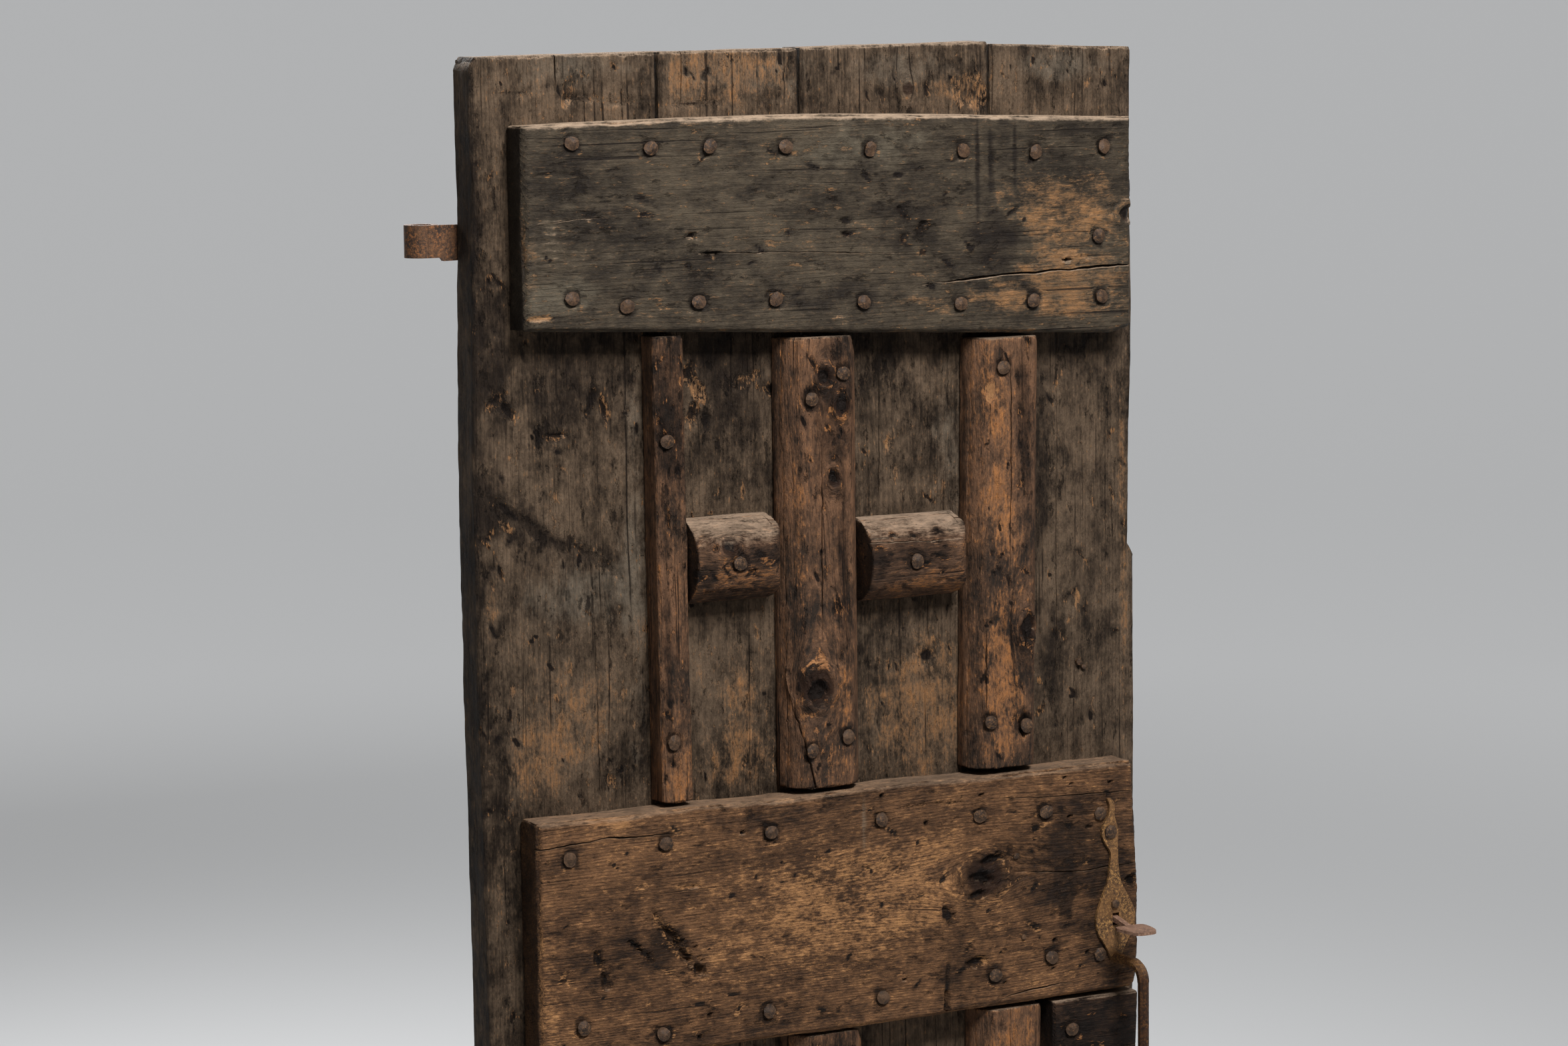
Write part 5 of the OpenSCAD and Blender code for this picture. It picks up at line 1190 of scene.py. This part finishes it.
def forged_nails(node, seed, stubs=()):
    """A group's nails: hammered heads with a few flat blows each, square shanks and clenched tips.
    Stubs are broken nails that stand out of the wood: place, seat, radius and height."""
    solid = np.array([v.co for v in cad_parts[node].data.vertices]) / MM - leaf_corner
    draw = np.random.default_rng(seed)
    around = np.arange(SIDES) * 2 * math.pi / SIDES
    points, faces = [], []

    def shell(rings):
        """A closed tube through rings of points, with a middle point on each end."""
        first = len(points)
        points.extend(np.concatenate(rings).tolist())
        count = len(rings[0])
        turns = [(i, (i + 1) % count) for i in range(count)]
        for ring in range(len(rings) - 1):
            near, far = first + ring * count, first + (ring + 1) * count
            faces.extend((near + i, near + j, far + j, far + i) for i, j in turns)
        for ring, turned in ((0, True), (len(rings) - 1, False)):
            points.append(rings[ring].mean(0).tolist())
            rim, middle = first + ring * count, len(points) - 1
            ways = [(j, i) for i, j in turns] if turned else turns
            faces.extend((middle, rim + i, rim + j) for i, j in ways)

    def level_ring(x, z, depth, radius):
        """A ring at one depth round a nail."""
        return np.stack([x + radius * np.cos(around), np.full(SIDES, depth), z + radius * np.sin(around)], 1)

    def head(x, z, seat, radius, height):
        """Rings over a hammered head, from its crown to its underside."""
        blows = draw.uniform(0, 2 * math.pi) + np.arange(BLOWS) * 2 * math.pi / BLOWS
        blows = blows + draw.uniform(-0.4, 0.4, BLOWS)
        slopes, lean = draw.uniform(0.24, 0.52, BLOWS), draw.uniform(-2.4, 2.4, 2)
        rim = radius * (0.97 + 0.06 * np.sin(2 * around + draw.uniform(0, 6)) - 0.1 * draw.random(SIDES))
        rings = []
        for share in (0.16, 0.4, 0.64, 0.84, 1.0):
            across, up = share * rim * np.cos(around), share * rim * np.sin(around)
            toward = (across - lean[0])[:, None] * np.cos(blows) + (up - lean[1])[:, None] * np.sin(blows)
            rise = (height - 0.2 - slopes * np.maximum(toward, 0)).min(1)
            rise = np.minimum(rise, height - 0.7) - 0.25 * draw.random(SIDES)
            rings.append(np.stack([x + across, seat - np.maximum(rise, 0.9), z + up], 1))
        return rings + [level_ring(x, z, seat + HEAD_SEAT, 0.96 * rim)]

    for x, z, seat, radius, height in stubs:
        rings = head(x, z, seat, radius, height)
        shell(rings + [rings[-1] + np.array([0.0, height, 0.0])])
    for x, z in driven(node):
        own = solid[np.hypot(solid[:, 0] - x, solid[:, 2] - z) < 1.3 * HEAD_RADIUS]
        seat = own[:, DEPTH].min() + HEAD_HEIGHT
        beside, above = np.abs(solid[:, 0] - x), np.abs(solid[:, 2] - z)
        column = solid[(beside < 1.5 * SHANK_HALF) & (above < CLENCH_REACH)]
        end = column[:, DEPTH].max()
        tip = column[column[:, DEPTH] > end - 0.5]
        rings = head(x, z, seat, HEAD_RADIUS, HEAD_HEIGHT)
        square = SHANK_HALF / np.maximum(np.abs(np.cos(around)), np.abs(np.sin(around)))
        depths = (seat + HEAD_SEAT, min(end, BOARD_THICKNESS))
        shell(rings + [level_ring(x, z, depth, square) for depth in depths])
        low, high = tip[:, 2].min(), tip[:, 2].max()
        if high - low < 4 * SHANK_HALF:
            continue
        root, point = (low, high) if z - low < high - z else (high, low)
        rings = []
        for share in TIP_SHARES:
            slim = (1 - 0.45 * share ** 2) * (0.7 if share in TIP_ENDS else 1.0)
            half = SHANK_HALF * slim * draw.uniform(0.9, 1.0)
            thick = (end - BOARD_THICKNESS) * (0.6 if share in TIP_ENDS else draw.uniform(0.82, 1.0))
            bend = x + draw.uniform(-0.4, 0.4)
            height = root + share * (point - root)
            corners = [(-half, -TIP_SUNK), (-0.7 * half, 0.85 * thick), (0, thick),
                       (0.7 * half, 0.85 * thick), (half, -TIP_SUNK)]
            ring = np.array([(bend + a, BOARD_THICKNESS + d, height) for a, d in corners])
            rings.append(ring if point > root else ring[::-1])
        shell(rings)

    mesh = bpy.data.meshes.new(node + "_forged")
    mesh.from_pydata(((np.array(points) + leaf_corner) * MM).tolist(), [], faces)
    on_leaf(mesh, node, nail_iron, SHARP_BLOW)


ledge_front = np.array(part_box("middle_ledge")[0])[DEPTH] / MM - leaf_corner[DEPTH]
STUBS = {
    "middle_ledge_nails": [(696, 1065, ledge_front + 3, 4.2, 7.0), (707, 962, ledge_front + 3, 3.6, 6.0)],
    "strip_nails": [(818, 1291, 2.0, 4.4, 8.0), (826, 1284, 2.0, 3.4, 6.0)],
}
NAIL_SEED = 300
for number, node in enumerate((*LEDGE_NAILS, "strip_nails", "block_nails")):
    forged_nails(node, NAIL_SEED + number, STUBS.get(node, ()))
hinge_iron = rusted("hinge_iron", srgb(44, 33, 27), srgb(104, 72, 48), srgb(150, 96, 56), 0.25)
finished(hinge_iron, "upper_hinge_strap", "lower_hinge_strap", "latch_bar")

# Thumb latch. A forged handle with a leaf-shaped plate and a bowed grip is nailed to the middle
# ledge and the lock block. A thumb lever on a pin passes through the plate and lifts the bar behind.

latch_iron = rusted("latch_iron", srgb(58, 41, 28), srgb(122, 88, 54), srgb(178, 134, 80), 0.32)
finished(latch_iron, "latch_handle")
# The grip below the plate has painted shade: it is painted darker downward from under the plate.
GRIP_TOP = 0.735
GRIP_DARK = 0.705
GRIP_SHADE = (0.26, 0.2, 0.17, 1.0)
latch_tree = latch_iron.node_tree
latch_shader = latch_tree.nodes["Principled BSDF"]
latch_height = split(latch_tree, placed(latch_tree, "ShaderNodeTexCoord").outputs["Object"])[2]
grip_shading = {0: ramp(latch_tree, latch_height, GRIP_TOP, GRIP_DARK), 7: GRIP_SHADE,
           6: latch_shader.inputs["Base Color"].links[0].from_socket}
darkened = placed(latch_tree, "ShaderNodeMix", grip_shading, data_type="RGBA", blend_type="MULTIPLY")
latch_tree.links.new(darkened.outputs[2], latch_shader.inputs["Base Color"])
thumb_iron = rusted("thumb_iron", srgb(92, 68, 56), srgb(140, 108, 88), srgb(170, 136, 112), 0.3)
finished(thumb_iron, "thumb_lever")

# Stage. A plain pale floor runs up into a round backdrop, with one broad soft lamp above the front
# and another above the back.

FLOOR_REACH = 13.0
BEND_RADIUS = 3.0
WALL_TOP = 7.0
STEPS_ROUND = 72
floor_z = solid_box[0][2]
bends = [math.radians(a) for a in range(0, 91, 9)]
profile = [(FLOOR_REACH + BEND_RADIUS * math.sin(a), BEND_RADIUS - BEND_RADIUS * math.cos(a)) for a in bends]
profile += [(FLOOR_REACH + BEND_RADIUS, WALL_TOP)]
bowl_points = [(0.0, 0.0, floor_z)]
for reach, rise in profile:
    for step in range(STEPS_ROUND):
        turn = 2 * math.pi * step / STEPS_ROUND
        bowl_points.append((reach * math.cos(turn), reach * math.sin(turn), floor_z + rise))
bowl_faces = []
for step in range(STEPS_ROUND):
    after = (step + 1) % STEPS_ROUND
    bowl_faces.append((0, 1 + step, 1 + after))
    for ring in range(len(profile) - 1):
        inner, outer = 1 + ring * STEPS_ROUND, 1 + (ring + 1) * STEPS_ROUND
        bowl_faces.append((inner + step, outer + step, outer + after, inner + after))
bowl_mesh = bpy.data.meshes.new("backdrop")
bowl_mesh.from_pydata(bowl_points, [], bowl_faces)
bowl_mesh.shade_smooth()
backdrop = bpy.data.objects.new("backdrop", bowl_mesh)
bpy.context.scene.collection.objects.link(backdrop)


def seen_directly(tree):
    """1 for rays that show the background itself, and 0 for those that light the leaf."""
    path = placed(tree, "ShaderNodeLightPath").outputs
    direct = maths(tree, "MAXIMUM", path["Is Camera Ray"], path["Is Glossy Ray"])
    return maths(tree, "MAXIMUM", direct, path["Is Transmission Ray"])


PALE = srgb(198, 199, 200)
NEAR_FLOOR = 2.5
FAR_WALL = 9.0
FAR_GLOW = 0.6
pale = bpy.data.materials.new("pale_floor")
pale.use_nodes = True
pale_shader = pale.node_tree.nodes["Principled BSDF"]
pale_shader.inputs["Base Color"].default_value = PALE
pale_shader.inputs["Roughness"].default_value = 0.9
pale_shader.inputs["Specular IOR Level"].default_value = 0.1
pale_shader.inputs["Emission Color"].default_value = PALE
floor_place = placed(pale.node_tree, "ShaderNodeNewGeometry").outputs["Position"]
away = placed(pale.node_tree, "ShaderNodeVectorMath", {0: floor_place}, operation="LENGTH").outputs["Value"]
glow = maths(pale.node_tree, "MULTIPLY", seen_directly(pale.node_tree),
             ramp(pale.node_tree, away, NEAR_FLOOR, FAR_WALL, FAR_GLOW))
pale.node_tree.links.new(glow, pale_shader.inputs["Emission Strength"])
bowl_mesh.materials.append(pale)

SKY_LIGHT = 0.14
SKY_SEEN = 0.6
world = bpy.data.worlds.new("studio")
world.use_nodes = True
sky = world.node_tree
strength = maths(sky, "ADD", maths(sky, "MULTIPLY", seen_directly(sky), SKY_SEEN), SKY_LIGHT)
sky.nodes["Background"].inputs["Color"].default_value = (1.0, 1.0, 1.0, 1.0)
sky.links.new(strength, sky.nodes["Background"].inputs["Strength"])
bpy.context.scene.world = world

leaf_middle = (Vector(solid_box[0]) + Vector(solid_box[1])) / 2
LAMP_REACH = 4.2
LAMP_SIZE = 1.1
# Each lamp's side of the leaf, its height in degrees and its power.
LAMPS = {"front_lamp": (-1, 51, 240), "back_lamp": (1, 40, 190)}
for name, (side, height, power) in LAMPS.items():
    lamp = bpy.data.lights.new(name, "AREA")
    lamp.energy = power
    lamp.size = LAMP_SIZE
    hung = bpy.data.objects.new(name, lamp)
    from_leaf = Vector((0, side * math.cos(math.radians(height)), math.sin(math.radians(height))))
    hung.location = leaf_middle + LAMP_REACH * from_leaf
    hung.rotation_euler = from_leaf.to_track_quat("Z", "Y").to_euler()
    bpy.context.scene.collection.objects.link(hung)

# The view is from the left and a little above, with a long lens.
CAMERA_PLACE = (-2.0337, -4.6298, 1.9260)
CAMERA_ANGLES = (28.427, 6.943, -0.716)
LENS = 100
SENSOR_WIDTH = 36
camera_turn, camera_pitch, camera_roll = (math.radians(a) for a in CAMERA_ANGLES)
forward = math.cos(camera_pitch)
ahead = (math.sin(camera_turn) * forward, math.cos(camera_turn) * forward, -math.sin(camera_pitch))
ahead = Vector(ahead)
level = Vector((math.cos(camera_turn), -math.sin(camera_turn), 0))
upright = level.cross(ahead)
right = math.cos(camera_roll) * level + math.sin(camera_roll) * upright
up = math.cos(camera_roll) * upright - math.sin(camera_roll) * level
camera_data = bpy.data.cameras.new("camera")
camera_data.lens = LENS
camera_data.sensor_width = SENSOR_WIDTH
camera = bpy.data.objects.new("camera", camera_data)
facing = Matrix((right, up, -ahead)).transposed().to_4x4()
camera.matrix_world = Matrix.Translation(CAMERA_PLACE) @ facing
bpy.context.scene.collection.objects.link(camera)
bpy.context.scene.camera = camera
bpy.context.scene.view_settings.view_transform = "Standard"
